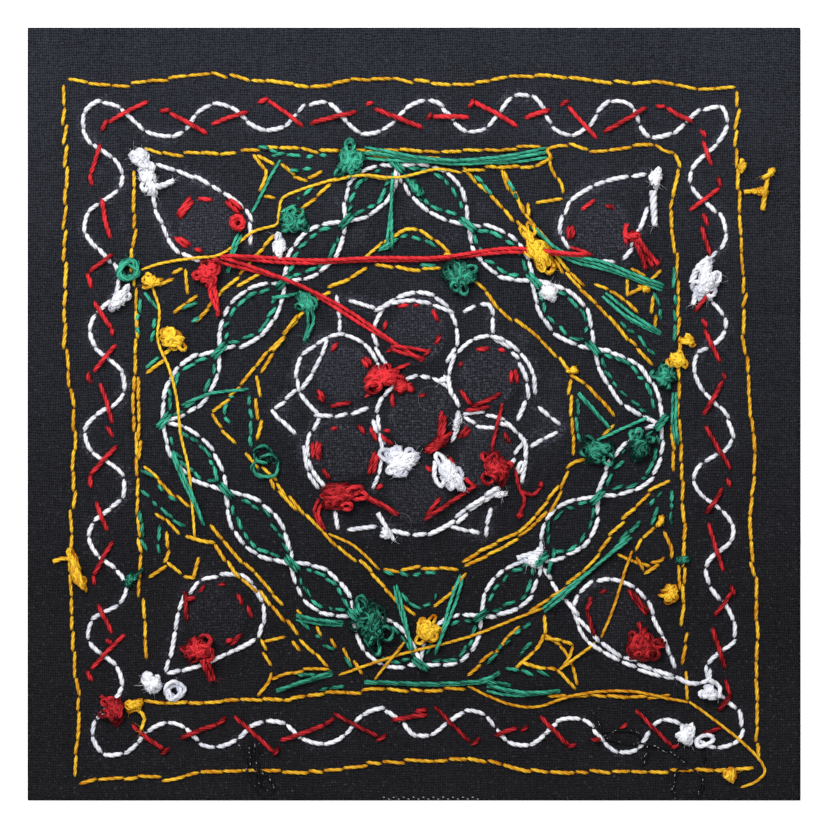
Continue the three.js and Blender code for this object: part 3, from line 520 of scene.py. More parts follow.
# Tied ends: kind, x, y, length, width, height, turn, loops. Rings and loops have an open middle
KNOTS = {
    "green_float_frame_n_knot": ("ball", -14.6, 58.6, 9.4, 7.8, 3.4, 1.2, 12),
    "green_knot_frame_w": ("ring", -66.4, 33.4, 6.8, 6.4, 2.6, 0.7, 9),
    "green_knot_diamond_n": ("ball", 10.6, 32.4, 9.4, 8, 3.2, -0.5, 14),
    "green_knot_leaf_e": ("ball", 58.2, 9, 7, 6.6, 3, 1.2, 11),
    "green_knot_leaf_se_a": ("ball", 43, -8.6, 8.4, 8, 3.4, 0.3, 12),
    "green_knot_leaf_se_b": ("ball", 52.2, -7.2, 8, 7.4, 3.4, 1.4, 12),
    "green_knot_leaf_sw": ("ball", -10.4, -49, 12, 10.6, 3.6, 1.5, 16),
    "green_tuft_nw": ("ball", -27.4, 45, 9, 7, 2.4, 0.2, 9),
    "green_tuft_n": ("ball", 0.4, 52.4, 6, 3.6, 2, -0.9, 6),
    "green_tuft_w": ("ball", -24.8, 26, 7, 5.4, 2.4, -0.8, 8),
    "green_ring_w": ("loop", -34.2, -12, 8.4, 6.6, 1.6, 0.4, 2),
    "green_ring_w_top": ("loop", -35.2, -9.4, 5.8, 5.4, 1.8, 0, 2),
    "green_tuft_sw": ("ball", -66, -38.6, 5, 3.6, 2, 1.2, 6),
    "green_tuft_e": ("ball", 63, -34, 5.6, 2.6, 1.8, 0.1, 5),
    "yellow_knot_nw": ("ball", -55.8, 17.8, 7.4, 6.8, 3.2, 0.4, 10),
    "yellow_star_nw": ("ball", -61.2, 30.6, 6.4, 4.4, 2.2, 0.2, 6),
    "yellow_knot_ne": ("ball", 28.4, 38.6, 11.4, 6.4, 3.4, -1.05, 12),
    "yellow_knot_ne_low": ("ring", 31.2, 34.2, 4.6, 4.6, 2.2, 0, 6),
    "yellow_knot_n": ("ball", 7.8, 37, 2.6, 2.2, 1.6, 0, 5),
    "yellow_knot_e": ("ball", 37, 10, 3, 3, 1.8, 0.8, 6),
    "yellow_knot_frame_e": ("ball", 61.2, 12.6, 6.8, 4.6, 2.4, -0.6, 8),
    "yellow_knot_frame_e_top": ("ball", 63.6, 17, 5, 3.4, 2, -0.3, 6),
    "yellow_knot_outer_e": ("ball", 76.4, 57.2, 4.2, 2.6, 2, 1.4, 6),
    "yellow_knot_se": ("ball", 57.4, -25, 4, 2.2, 1.8, 1.1, 5),
    "yellow_knot_se_frame": ("ball", 59.6, -42, 5.6, 4.8, 2.4, 0.4, 9),
    "yellow_knot_outer_s": ("ball", 73.6, -84, 6.4, 3.2, 2.2, 1.5, 7),
    "yellow_knot_s": ("ball", 3.1, -50, 8, 6.6, 3.2, 0.35, 12),
    "yellow_knot_outer_w": ("ball", -78.4, -37, 11, 3.6, 2.6, -1.2, 10),
    "yellow_knot_sw": ("ball", -65.2, -67.8, 5.6, 4.2, 2.2, 0.1, 7),
    "yellow_knot_petal": ("ball", 54, 29, 4, 2.6, 1.6, -0.3, 4),
    "red_knot_flower_n": ("ball", -7.4, 8.4, 9.8, 7, 3.2, 0.3, 11),
    "red_knot_flower_sw": ("ball", -17.6, -19, 11, 7.2, 3.4, 0.1, 13),
    "red_knot_flower_se": ("ball", 18.8, -12.6, 9.2, 8, 3.6, -0.8, 13),
    "red_knot_corner_sw": ("ball", -50.4, -54.6, 8.8, 7.4, 3.2, 0, 11),
    "red_knot_corner_se": ("ball", 52.6, -53.6, 10.6, 9, 3, 0.5, 13),
    "red_knot_border_sw": ("ball", -70, -69, 7.4, 7, 3.2, 0.5, 11),
    "red_float_across_n_knot": ("ball", -47.8, 32.8, 7.6, 7, 3.2, 1, 12),
    "red_coil_flower_n": ("ball", -2.6, 6.4, 6.4, 4.6, 2.4, -0.3, 7),
    "red_bars_flower": ("ball", 6.2, -6.4, 7.2, 3.6, 2.2, 0.65, 7),
    "yellow_branch_e": ("ball", 80.8, 51.6, 4.2, 3, 1.8, 0.3, 5),
    "yellow_branch_tip": ("ball", 83, 56, 3.4, 2.6, 1.8, 1.0, 4),
    "red_ball_nw": ("ring", -40.8, 44.4, 4.8, 4.6, 2.6, 0, 9),
    "red_bow_ne": ("ball", 51, 41.2, 5, 3.4, 2, 0, 6),
    "red_blob_se": ("ball", 24.6, -23.6, 2.8, 2.2, 1.4, 0.8, 4),
    "red_blob_e": ("ball", 29.6, -16.4, 2.8, 1.8, 1.4, 1, 4),
    "white_tuft_nw": ("tuft", -63.4, 59, 8, 6, 3.2, -0.8, 10),
    "white_tuft_nw_low": ("tuft", -61.8, 54.4, 8.6, 4.6, 2.6, -1.2, 9),
    "white_drop_w": ("tuft", -31.4, 38, 7.6, 3.8, 2.2, 1.5, 7),
    "white_tuft_w": ("tuft", -68.4, 26.8, 7.6, 4.6, 3, 1.15, 9),
    "white_knot_ne": ("tuft", 55.8, 54.8, 5.8, 4.6, 2.8, 1.4, 8),
    "white_tuft_e": ("tuft", 67.8, 31.4, 10, 7, 3.4, 1.3, 13),
    "white_tuft_leaf": ("tuft", 31.4, 28.4, 6, 4.6, 2.4, -0.5, 8),
    "white_knot_flower_s": ("tuft", -3.2, -11, 9.4, 8, 3.2, 0.2, 11),
    "white_knot_flower_se": ("tuft", 8.6, -14, 11, 5.4, 3, -0.95, 11),
    "white_knot_flower_ne": ("tuft", 6.8, 8, 3.6, 2.2, 1.6, 0.2, 5),
    "white_knot_flower_e": ("tuft", 10, -1.8, 5.2, 2.2, 1.8, 1.3, 5),
    "white_tuft_se": ("tuft", 28, -33.6, 5.6, 4.6, 2.4, 0.5, 8),
    "white_knot_sw": ("tuft", -61, -62.4, 6.2, 5, 2.8, 2.2, 9),
    "white_ring_sw": ("ring", -55.7, -64.4, 6, 5.6, 2, 0, 6),
    "white_tuft_frame_se": ("ball", 68.6, -65, 5.2, 4.8, 2.8, 0.4, 8),
    "white_knot_wave_se": ("tuft", 62.8, -74.6, 6, 4.4, 2.8, 1.8, 8),
    "white_loop_wave_se": ("loop", 67.6, -76, 5.6, 3.6, 1.6, 0.4, 4),
    "white_knot_petal_s": ("ball", -6.4, -27.6, 4.2, 3.6, 2, -0.9, 6),
    "white_knot_petal_se": ("tuft", 20.4, -18.6, 4.4, 2, 1.6, 0.2, 4),
    "white_loop_petal_se": ("loop", 24.8, -12.4, 3.6, 2.2, 1.4, 1.2, 3),
}

# Loose tails of the knots: thickness share, plan points
TAILS = {
    "green": [
        (1.0, [(-25, 25), (-24.6, 21), (-25.6, 17)]), (1.0, [(-24, 25), (-23.4, 21.6), (-25, 17.6)]),
        (1.0, [(-63, -36), (-64.6, -37.4), (-66, -39)]), (1.0, [(-33, 27), (-29, 27.6), (-25.6, 28.4)]),
    ],
    "yellow": [
        (1.3, [(76.8, 51.6), (79, 52), (81.4, 52.6)]), (1.5, [(81.2, 47.4), (81.6, 51), (82.4, 55.6)]),
        (1.4, [(83.4, 57), (82.6, 55.8), (81, 54.8)]), (1.3, [(-84, -34.4), (-81.6, -33.6), (-79.6, -34)]),
        (1.2, [(-64.4, -68.6), (-62.8, -70.6), (-63.4, -73.4)]),
    ],
    "red": [
        (1.2, [(-46.8, 31), (-46, 27), (-45.6, 22.8)]), (1.2, [(-47.4, 31), (-47.2, 27.6), (-45.4, 23.6)]),
        (1.4, [(-48.6, -57), (-47.4, -59.4), (-46.6, -62)]),
        (1.4, [(-49.2, -57), (-48, -60), (-47.2, -62)]), (1.3, [(51.4, 40.4), (53.4, 37.4), (55.6, 34.4)]),
        (1.3, [(51.4, 40.4), (52.8, 36.8), (54, 33.8)]), (1.3, [(51.8, 40.6), (54.6, 37.2), (57, 34.8)]),
        (1.1, [(49.4, 44.2), (49, 42), (49.4, 39.6)]), (1.0, [(-73, -65.6), (-72, -66.6), (-71, -68)]),
        (1.2, [(52, -48.4), (53, -51), (53, -54)]),
    ],
    "white": [
        (1.8, [(55.6, 52), (55.8, 47.6), (56, 43.8)]), (1.6, [(-61.6, 53.4), (-59, 53), (-55.8, 54.4)]),
        (1.6, [(64.6, 30.4), (66, 34), (68.6, 36.4)]), (1.5, [(66.4, 30), (65.4, 27.4), (65, 25.4)]),
        (1.2, [(5, -11), (4.8, -14.6), (6.4, -16.8), (7.4, -14)]),
        (1.3, [(24, -33.6), (27, -32.6), (30, -31.6)]), (1.2, [(64.4, -72), (65, -73.4), (64.4, -75.4)]),
        (1.2, [(-8.4, -23), (-7, -25.4), (-4.6, -29.4)]), (1.2, [(68.6, -61.8), (71, -63.4), (71, -66)]),
    ],
}

# Loose dark ends that lie over the lower border, with pale flecks on them
DARK_ENDS = [
    [(-38.2, -75.8), (-38.2, -79), (-38, -82.8)],
    [(-37, -76.3), (-36.9, -80.9), (-36.4, -83.7), (-36, -85.6), (-34.3, -87.7)],
    [(-40.4, -77.2), (-39.2, -80.2), (-38.5, -84.2), (-37.6, -85.8), (-35.7, -88.8)],
    [(-38, -83), (-35.6, -83.4), (-33.9, -84.2), (-33.2, -85.6), (-32.8, -87.4), (-33.3, -88.8)],
    [(-35.9, -76.8), (-35.5, -78), (-35.7, -79.4)],
    [(43.7, -74.9), (46.7, -75.9), (49.9, -76.4), (53.7, -76.8), (56.7, -77.6), (59.6, -78.7)],
    [(43.1, -74.3), (45.5, -73.9), (47.9, -73.6), (51.7, -74), (53.1, -75.8)],
    [(54.2, -77.3), (53.7, -79.9), (53.4, -82)], [(59.6, -78.7), (62, -80.2), (63.7, -81.4)],
    [(67.3, -77.9), (67.4, -79.6), (67.3, -81.4)],
    [(65.2, -82.8), (62.5, -82.5), (61.1, -83.1), (60.2, -87), (60.8, -89.4)],
    [(65.2, -82.8), (67, -84.9), (66.7, -87.3), (65.8, -88.4), (66.4, -89.4)],
    [(41, -68.4), (42.4, -70.6), (43.7, -74.9)],
]

# Chalk left on the cloth: x, y, size and strength
SMUDGES = [
    (-5, 70, 2.6, 0.22), (0, 48, 2, 0.25), (-5, 57.5, 2, 0.2), (-13, 42, 2.2, 0.2), (9, 41, 2.4, 0.22),
    (16, 48, 2, 0.2), (-18, 49, 2.2, 0.2), (31, 0, 3, 0.28), (-30, 1, 2.4, 0.2), (-33.6, 72.4, 1.4, 0.25),
    (26, 17.5, 2, 0.2), (0, 27.4, 2, 0.2), (-25, 11, 1.8, 0.2), (25.5, 13, 1.8, 0.22), (-73, 56, 1.2, 0.3),
    (-68, 44, 1.2, 0.2), (6.8, 3.2, 3.2, 0.4), (66, 30, 2.2, 0.2), (-62, 60, 2, 0.25), (33, 8, 2, 0.2),
    (20, -1.2, 2.4, 0.22), (29.6, -4, 2.6, 0.25),
]


def eased(value, low, high):
    """A smooth step from 0 at low to 1 at high."""
    share = np.clip((np.asarray(value, float) - low) / (high - low), 0, 1)
    return share * share * (3 - 2 * share)


def ground(x, y):
    """Height of the cloth's underside: plateaus over the mirrors, soft creases and ripples elsewhere."""
    lift = np.zeros(np.broadcast(x, y).shape)
    for mirror_x, mirror_y in MIRRORS.values():
        away = np.hypot(x - mirror_x, y - mirror_y)
        rise = 1 - RIM_SHARE * eased(away, PLATEAU_RADIUS, PLATEAU_RADIUS + RIM_WIDTH)
        rise = rise - (1 - RIM_SHARE) * eased(away, PLATEAU_RADIUS + RIM_WIDTH / 2, FOOT_RADIUS)
        lift = np.maximum(lift, CLOTH_LIFT * rise)
    for (start_x, start_y), (end_x, end_y), height in CREASES:
        run_x, run_y = end_x - start_x, end_y - start_y
        length = math.hypot(run_x, run_y)
        along = ((x - start_x) * run_x + (y - start_y) * run_y) / length**2
        aside = ((x - start_x) * run_y - (y - start_y) * run_x) / length
        lift = lift + height * np.exp(-(aside / CREASE_WIDTH) ** 2) * (1 - eased(along, CREASE_FADE, 1))
    (length_x, swing_x, slow_x), (length_y, swing_y, slow_y) = RIPPLES
    ripple = np.sin(x / length_x + swing_x * np.sin(y / slow_x))
    ripple = ripple * np.sin(y / length_y + swing_y * np.sin(x / slow_y))
    return lift + RIPPLE * (1 + ripple) / 2


def top(x, y):
    """Height of the cloth's upper face."""
    return ground(x, y) + CLOTH_THICK


def even(line, step=POINT_STEP):
    """The same line cut into even steps."""
    line = np.asarray(line, float)
    along = np.concatenate([[0], np.cumsum(np.linalg.norm(np.diff(line, axis=0), axis=1))])
    marks = np.linspace(0, along[-1], max(3, int(round(along[-1] / step)) + 1))
    return np.stack([np.interp(marks, along, line[:, k]) for k in range(line.shape[1])], axis=1)


def smooth(points, closed=False, step=POINT_STEP):
    """A rounded line through the points, cut into even steps."""
    points = np.asarray(points, float)
    if closed:
        ends = np.vstack([points[-1:], points, points[:2]])
    else:
        ends = np.vstack([2 * points[:1] - points[1:2], points, 2 * points[-1:] - points[-2:-1]])
    t = np.linspace(0, 1, CURVE_STEPS, endpoint=False)[:, None]
    runs = []
    for p0, p1, p2, p3 in zip(ends, ends[1:], ends[2:], ends[3:]):
        bend = (2 * p0 - 5 * p1 + 4 * p2 - p3) * t**2 + (3 * p1 - p0 - 3 * p2 + p3) * t**3
        runs.append(p1 + ((p2 - p0) * t + bend) / 2)
    return even(np.vstack(runs + [ends[-2:-1]]), step)


def wave_line(turns):
    """A closed wave with round crests through its turning points."""
    turns = np.asarray(turns, float)
    after = np.roll(turns, -1, axis=0)
    ahead = after - np.roll(turns, 1, axis=0)
    ahead = ahead / np.linalg.norm(ahead, axis=1, keepdims=True)
    t = np.linspace(0, 1, WAVE_STEPS, endpoint=False)[:, None]
    runs = []
    for here, there, leave, arrive in zip(turns, after, ahead, np.roll(ahead, -1, axis=0)):
        pull = CREST * np.linalg.norm(there - here)
        run = here * (2 * t**3 - 3 * t**2 + 1) + there * (3 * t**2 - 2 * t**3)
        runs.append(run + pull * (leave * (t**3 - 2 * t**2 + t) + arrive * (t**3 - t**2)))
    return np.vstack(runs)


def circle(x, y, radius, turns):
    """Points round a middle at the given angles."""
    return np.column_stack([x + radius * np.cos(turns), y + radius * np.sin(turns)])


def across(line):
    """Two cross directions carried along a line without twist."""
    tangent = np.gradient(line, axis=0)
    tangent = tangent / np.maximum(np.linalg.norm(tangent, axis=1, keepdims=True), TINY)
    side = np.cross(tangent[0], ALMOST_UP)
    carried = []
    for direction in tangent:
        side = side - direction * side.dot(direction)
        side = side / max(np.linalg.norm(side), TINY)
        carried.append(side)
    first = np.array(carried)
    return first, np.cross(tangent, first)


# Later threads ride over earlier ones
PILE_AXIS = np.arange(-PILE_REACH, PILE_REACH + PILE_STEP, PILE_STEP)
pile = top(PILE_AXIS[:, None], PILE_AXIS[None, :])


def cells(plan):
    """Grid cells of the pile under plan points."""
    return np.clip(((plan - PILE_AXIS[0]) / PILE_STEP).round().astype(int), 1, len(PILE_AXIS) - 2)


def seat(plan):
    """Height on which a thread rests along its plan, bridging small dips."""
    place = cells(plan)
    height = pile[place[:, 0], place[:, 1]]
    span = len(SEAT_WEIGHTS)
    wide = np.pad(height, span // 2, mode="edge")
    reach = np.max([wide[k:k + len(height)] for k in range(span)], axis=0)
    wide = np.pad(reach, span // 2, mode="edge")
    soft = sum(weight * wide[k:k + len(height)] for k, weight in enumerate(SEAT_WEIGHTS))
    return np.maximum(soft, height)


def cover(line, radius):
    """Raises the pile under a laid thread."""
    place = cells(line[:, :2])
    for dx in (-1, 0, 1):
        for dy in (-1, 0, 1):
            np.maximum.at(pile, (place[:, 0] + dx, place[:, 1] + dy), line[:, 2] + radius * PILE_SHARE)


class Yarn:
    """Gathers laid threads of one colour and makes them one piece."""

    def __init__(self, colour, seed):
        self.colour = colour
        self.style = THREADS[colour]
        self.dice = np.random.default_rng(seed)
        self.points = []
        self.faces = []
        self.tones = []
        self.count = 0

    def tube(self, line, frame_pair, radius, sides, tone):
        """A closed round tube with a radius for each point of its line."""
        first, second = frame_pair
        angle = np.arange(sides) * 2 * math.pi / sides
        ring = first[:, None] * np.cos(angle)[None, :, None] + second[:, None] * np.sin(angle)[None, :, None]
        points = line[:, None] + ring * np.broadcast_to(radius, len(line))[:, None, None]
        index = self.count + np.arange(len(line) * sides).reshape(len(line), sides)
        after = np.roll(index, -1, axis=1)
        quads = np.stack([index[:-1], after[:-1], after[1:], index[1:]], axis=-1).reshape(-1, 4)
        self.faces += quads.tolist() + [index[0][::-1].tolist(), index[-1].tolist()]
        self.points.append(points.reshape(-1, 3))
        # Painted shade: each ring darker on its lower and side faces, lighter on top
        tones = np.broadcast_to(tone, len(line))[:, None] + SIDE_SHADE * (ring[:, :, 2] - SIDE_SHADE_MIDDLE)
        self.tones.append(tones.ravel())
        self.count += points.shape[0] * sides

    def twist(self, line, radius, tone):
        """A thread of plies twisted together along a line."""
        pair = across(line)
        along = np.concatenate([[0], np.cumsum(np.linalg.norm(np.diff(line, axis=0), axis=1))])
        phase = self.dice.uniform(0, 2 * math.pi)
        radius = np.broadcast_to(radius, len(line))
        for ply in range(PLIES):
            turn = 2 * math.pi * (along / PLY_PITCH + ply / PLIES) + phase
            offset = pair[0] * np.cos(turn)[:, None] + pair[1] * np.sin(turn)[:, None]
            self.tube(line + offset * PLY_OFFSET * radius[:, None], pair, radius * PLY_SHARE, PLY_SIDES,
                      tone + PLY_TONES[ply])

    def lay(self, plan, low, high, rise, radius, use):
        """A thread from low ends to a high middle, added to the pile."""
        line = np.column_stack([plan, low + (high - low) * rise])
        self.twist(line, radius * (THIN_END + (1 - THIN_END) * rise), self.shade(plan, use))
        cover(line, radius)

    def stitch(self, plan):
        """One stitch on the cloth, whose ends dive into the weave."""
        plan = even(plan)
        radius = self.style["radius"] * self.dice.uniform(*STITCH["thick"])
        along = np.linspace(0, 1, len(plan)) * np.linalg.norm(np.diff(plan, axis=0), axis=1).sum()
        edge = np.minimum(along, along[-1] - along)
        low = top(plan[:, 0], plan[:, 1]) - STITCH["low"] * radius
        high = seat(plan) + STITCH["high"] * radius
        self.lay(plan, low, high, eased(edge, *STITCH["rise"]), radius, "stitch")

    def shade(self, plan, use):
        """Tone of one thread, deeper toward the lower right."""
        tones = TONES[self.colour]
        high = eased(plan[0, 1] - TONE_FALL["slope"] * plan[0, 0], TONE_FALL["low"], TONE_FALL["high"])
        return tones[use] + TONE_SPREAD * self.dice.uniform(0, 1) + tones["fall"] * (high - 0.5)

    def row(self, points, closed=False):
        """A row of stitches along a line, each a little aslant."""
        step = ROW["step"]
        line = smooth(points, closed, step)
        style = self.style
        total = (len(line) - 1) * step
        count = max(1, int(round(total / (style["length"] + style["gap"]))))
        if closed or count > 1:
            breaks = np.linspace(0, total, count + 1)
            breaks[1:-1] += self.dice.normal(0, ROW["breaks"] * total / count, count - 1)
        else:
            breaks = np.array([0, total])
        for start, end in zip(breaks, breaks[1:]):
            gap = style["gap"] * self.dice.uniform(*ROW["gaps"]) if count > 1 else 0
            first = int(start / step)
            last = int(max(start + ROW["shortest"], end - gap) / step)
            part = line[first:last + 1]
            if len(part) < 3:
                continue
            t = np.linspace(0, 1, len(part))[:, None]
            chord = part[0] + (part[-1] - part[0]) * t
            part = ROW["chord"] * chord + (1 - ROW["chord"]) * part
            ahead = (part[-1] - part[0]) / max(np.linalg.norm(part[-1] - part[0]), TINY)
            aside = np.array([-ahead[1], ahead[0]])
            sway = self.dice.normal(0, style["sway"], 2) + (style["lean"], -style["lean"])
            self.stitch(part + aside * (sway[0] * (1 - t) + sway[1] * t))

    def swing(self, along, lengths):
        """A slow swing to and fro along a strand."""
        return np.sin(along / self.dice.uniform(*lengths) + self.dice.uniform(*SWING["start"]))

    def float_line(self, points, strands, height):
        """Loose strands side by side that run over the stitches."""
        base = smooth(points)
        ahead = np.gradient(base, axis=0)
        ahead = ahead / np.linalg.norm(ahead, axis=1, keepdims=True)
        aside = np.column_stack([-ahead[:, 1], ahead[:, 0]])
        radius = self.style["radius"] * FLOAT["thick"]
        along = np.arange(len(base)) * POINT_STEP
        edge = np.minimum(along, along[-1] - along)
        for strand in range(strands):
            place = (strand - (strands - 1) / 2) * radius * FLOAT["apart"]
            wander = place * (SWING["even"] + SWING["uneven"] * self.swing(along, SWING["bundle"]))
            wander = wander + SWING["aside"] * self.swing(along, SWING["strand"])
            plan = base + aside * wander[:, None]
            low = top(plan[:, 0], plan[:, 1]) - FLOAT["low"] * radius
            high = np.maximum(seat(plan) + FLOAT["high"] * radius, low + FLOAT["hang"] * height)
            wide = np.pad(high, FLOAT["calm"], mode="edge")
            calm = np.mean([wide[k:k + len(high)] for k in range(2 * FLOAT["calm"] + 1)], axis=0)
            high = np.maximum(calm, seat(plan) + FLOAT["least"] * radius)
            self.lay(plan, low, high, eased(edge, *FLOAT["rise"]), radius, "float")

    def tail(self, points, share):
        """A loose end that lies on the cloth and frays at its tip."""
        plan = smooth(points)
        radius = self.style["radius"] * share
        taper = np.linspace(1, TAIL["tip"], len(plan))
        line = np.column_stack([plan, seat(plan) + TAIL["high"] * radius])
        self.twist(line, radius * taper, self.shade(plan, "heap"))
        cover(line, radius)
        self.fray(line[-1:], TAIL["hairs"], TAIL["hair"])

    def tangle(self, kind, x, y, length, width, height, turn, loops):
        """A tied end: a lumpy heap of small curls, with a filled middle and loose loops at its edge."""
        dice = self.dice
        style = TANGLES[kind]
        curls = []
        lobes = dice.uniform(0, 2 * math.pi) + np.arange(LOBES["count"]) * LOBES["turn"]
        lobes = lobes + dice.normal(0, LOBES["drift"], LOBES["count"])
        for _ in range(int(loops * style["fill"])):
            lobe = lobes[dice.integers(LOBES["count"])] + dice.normal(0, style["scatter"])
            middle_reach = style["spread"] * math.sqrt(dice.uniform(0, LOBES["reach"]))
            middle_x = middle_reach * math.cos(lobe)
            middle_y = middle_reach * math.sin(lobe)
            heading = dice.uniform(0, 2 * math.pi)
            long_half = dice.uniform(*style["curl"])
            short_half = long_half * dice.uniform(*CURL_FLAT)
            for step in np.arange(CURL_POINTS) * 2 * math.pi / CURL_POINTS:
                u = long_half * math.cos(step)
                v = short_half * math.sin(step)
                curls.append((
                    middle_x + u * math.cos(heading) - v * math.sin(heading),
                    middle_y + u * math.sin(heading) + v * math.cos(heading),
                ))
        local = np.array(curls)
        reach = np.minimum(1, np.hypot(local[:, 0], local[:, 1]))
        dome = HEAP_EDGE + (1 - HEAP_EDGE) * np.sqrt(1 - reach**2)
        level = height * dome * dice.uniform(*HEAP_LEVELS, len(local))
        oval = (x, y, length, width, turn)
        self.wind(local, level, oval, self.style["radius"] * style["thick"], style)
        self.core(x, y, length * style["core"], width * style["core"], height * style["core"], turn)
        for _ in range(loops // STRAY["every"]):
            self.stray(oval, height)

    def stray(self, oval, height):
        """A loose loop that stands out at the edge of a tied end."""
        dice = self.dice
        heading = dice.uniform(0, 2 * math.pi)
        outward = np.array([math.cos(heading), math.sin(heading)])
        sideways = np.array([-outward[1], outward[0]])
        long_half = dice.uniform(*STRAY["size"])
        short_half = long_half * dice.uniform(*STRAY["flat"])
        angle = np.arange(STRAY["points"])[:, None] * 2 * math.pi / CURL_POINTS + math.pi
        local = outward * dice.uniform(*STRAY["reach"])
        local = local + outward * long_half * np.cos(angle) + sideways * short_half * np.sin(angle)
        level = height * dice.uniform(*STRAY["levels"], len(local))
        self.wind(local, level, oval, self.style["radius"], STRAY)

    def ring(self, kind, x, y, length, width, height, turn, loops):
        """A tied end wound round and round an open middle."""
        count = loops * CURL_POINTS
        angle = np.arange(count) * 2 * math.pi / CURL_POINTS + self.dice.normal(0, RING["drift"], count)
        reach = self.dice.uniform(HOLES[kind], 1, count)
        local = np.column_stack([np.cos(angle), np.sin(angle)]) * reach[:, None]
        level = height * self.dice.uniform(*RING["levels"], count)
        oval = (x, y, length, width, turn)
        self.wind(local, level, oval, self.style["radius"] * RING["thick"], TANGLES["ball"])

    def wind(self, local, level, oval, radius, style):
        """One thread through points given in shares of an oval's half sizes."""
        x, y, length, width, turn = oval
        swing = np.array([[math.cos(turn), -math.sin(turn)], [math.sin(turn), math.cos(turn)]])
        plan = (local * (length / 2 - radius, width / 2 - radius)) @ swing.T + (x, y)
        level = top(plan[:, 0], plan[:, 1]) + np.maximum(level - radius, WIND["low"] * radius)
        line = smooth(np.column_stack([plan, level]), step=WIND["step"])
        line[:, 2] = np.maximum(line[:, 2], top(line[:, 0], line[:, 1]) + WIND["least"] * radius)
        rise = line[:, 2] - top(line[:, 0], line[:, 1])
        # Painted shade: the thread darker where it lies low in the heap, lighter where it is high
        self.twist(line, radius, self.shade(plan, "heap") + HEAP_DEPTH_SHADE * (rise / rise.max() - HEAP_SHADE_MIDDLE))
        cover(line, radius)
        self.fray(line, int(style["hairs"] * length * width), style["hair"])

    def core(self, x, y, length, width, height, turn):
        """The filled middle of a heap of curls, painted slightly darker as shade in the gaps between them.
        """
        count = CORE["rings"]
        share = np.linspace(-CORE["end"], CORE["end"], count)
        base = top(np.array([x]), np.array([y]))[0]
        line = np.column_stack([np.full(count, x), np.full(count, y), base + height * (share + 1) / 2])
        first = np.tile([math.cos(turn), math.sin(turn), 0], (count, 1)) * length / 2
        second = np.tile([-math.sin(turn), math.cos(turn), 0], (count, 1)) * width / 2
        tone = TONES[self.colour]["heap"] + CORE_SHADE
        self.tube(line, (first, second), np.sqrt(1 - share**2), CORE["sides"], tone)

    def fray(self, line, count, length):
        """Fine fibres that stand off a thread."""
        points = HAIR["points"]
        taper = HAIR["radius"] * np.linspace(1, HAIR["tip"], points)
        t = np.linspace(0, 1, points)[:, None]
        for _ in range(count):
            start = line[self.dice.integers(len(line))]
            heading = self.dice.uniform(0, 2 * math.pi)
            reach = length * self.dice.uniform(*HAIR["reach"])
            aim = np.array([math.cos(heading), math.sin(heading), self.dice.uniform(*HAIR["lift"])])
            curl = np.array([-aim[1], aim[0], 0]) * self.dice.normal(0, HAIR["curl"])
            hair = start + reach * (aim * t + curl * t * t)
            hair[:, 2] = np.maximum(hair[:, 2], top(hair[:, 0], hair[:, 1]) + HAIR["clear"])
            self.tube(hair, across(hair), taper, HAIR["sides"], self.dice.uniform(*HAIR["tones"]))

    def fleck(self, start, end, radius, tone):
        """A short plain fibre that lies on what is under it."""
        plan = even(np.array([start, end]), FLECK["cut"])
        line = np.column_stack([plan, seat(plan) + FLECK["high"]])
        self.tube(line, across(line), radius, FLECK["sides"], tone)

    def make(self, name, slot, *nodes):
        """The gathered threads as one piece that rides on the frame."""
        piece(name, np.concatenate(self.points), self.faces, self.colour, nodes,
              np.concatenate(self.tones))


def piece(name, points, faces, material, nodes, tones=None):
    """A mesh in millimetres that rides on the frame in place of some of its nodes."""
    mesh = bpy.data.meshes.new(name)
    mesh.from_pydata((np.asarray(points) * MM).tolist(), [], faces)
    mesh.polygons.foreach_set("use_smooth", [True] * len(mesh.polygons))
    if tones is not None:
        mesh.attributes.new("tone", "FLOAT", "POINT").data.foreach_set("value", tones)
    mesh.materials.append(MATERIALS[material])
    mesh.update()
    made = bpy.data.objects.new(name, mesh)
    bpy.context.scene.collection.objects.link(made)
    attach(made, "root")
    if nodes:
        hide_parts(*nodes)
    return made


def node(tree, kind, **settings):
    """A new shader node with its settings; names that match an input set that input."""
    made = tree.nodes.new(kind)
    for key, value in settings.items():
        if hasattr(made, key):
            setattr(made, key, value)
        else:
            made.inputs[key.replace("_", " ")].default_value = value
    return made


def noise(tree, place, scale, detail):
    """A noise node read at a place."""
    made = node(tree, "ShaderNodeTexNoise", Scale=scale, Detail=detail)
    tree.links.new(place, made.inputs["Vector"])
    return made.outputs["Fac"]


def plug(tree, sockets, values):
    """Sets each socket to a plain value or links it to another socket."""
    for socket, value in zip(sockets, values):
        if isinstance(value, (int, float, tuple)):
            socket.default_value = value
        else:
            tree.links.new(value, socket)


def math_node(tree, operation, *values):
    """A math node on one or two values, which are sockets or numbers."""
    made = node(tree, "ShaderNodeMath", operation=operation)
    plug(tree, made.inputs, values)
    return made.outputs[0]


def times(tree, first, second):
    """The product of two values."""
    return math_node(tree, "MULTIPLY", first, second)


def plus(tree, first, *others):
    """The sum of several values."""
    for other in others:
        first = math_node(tree, "ADD", first, other)
    return first


def above(tree, value, level, gain):
    """How far a value stands above a level, times a gain, and never below zero."""
    return math_node(tree, "MAXIMUM", times(tree, plus(tree, value, -level), gain), 0.0)


def mixed(tree, factor, first, second):
    """A colour mix; factor and colours are sockets or plain values."""
    made = node(tree, "ShaderNodeMix", data_type="RGBA")
    plug(tree, (made.inputs[0], made.inputs[6], made.inputs[7]), (factor, first, second))
    return made.outputs[2]


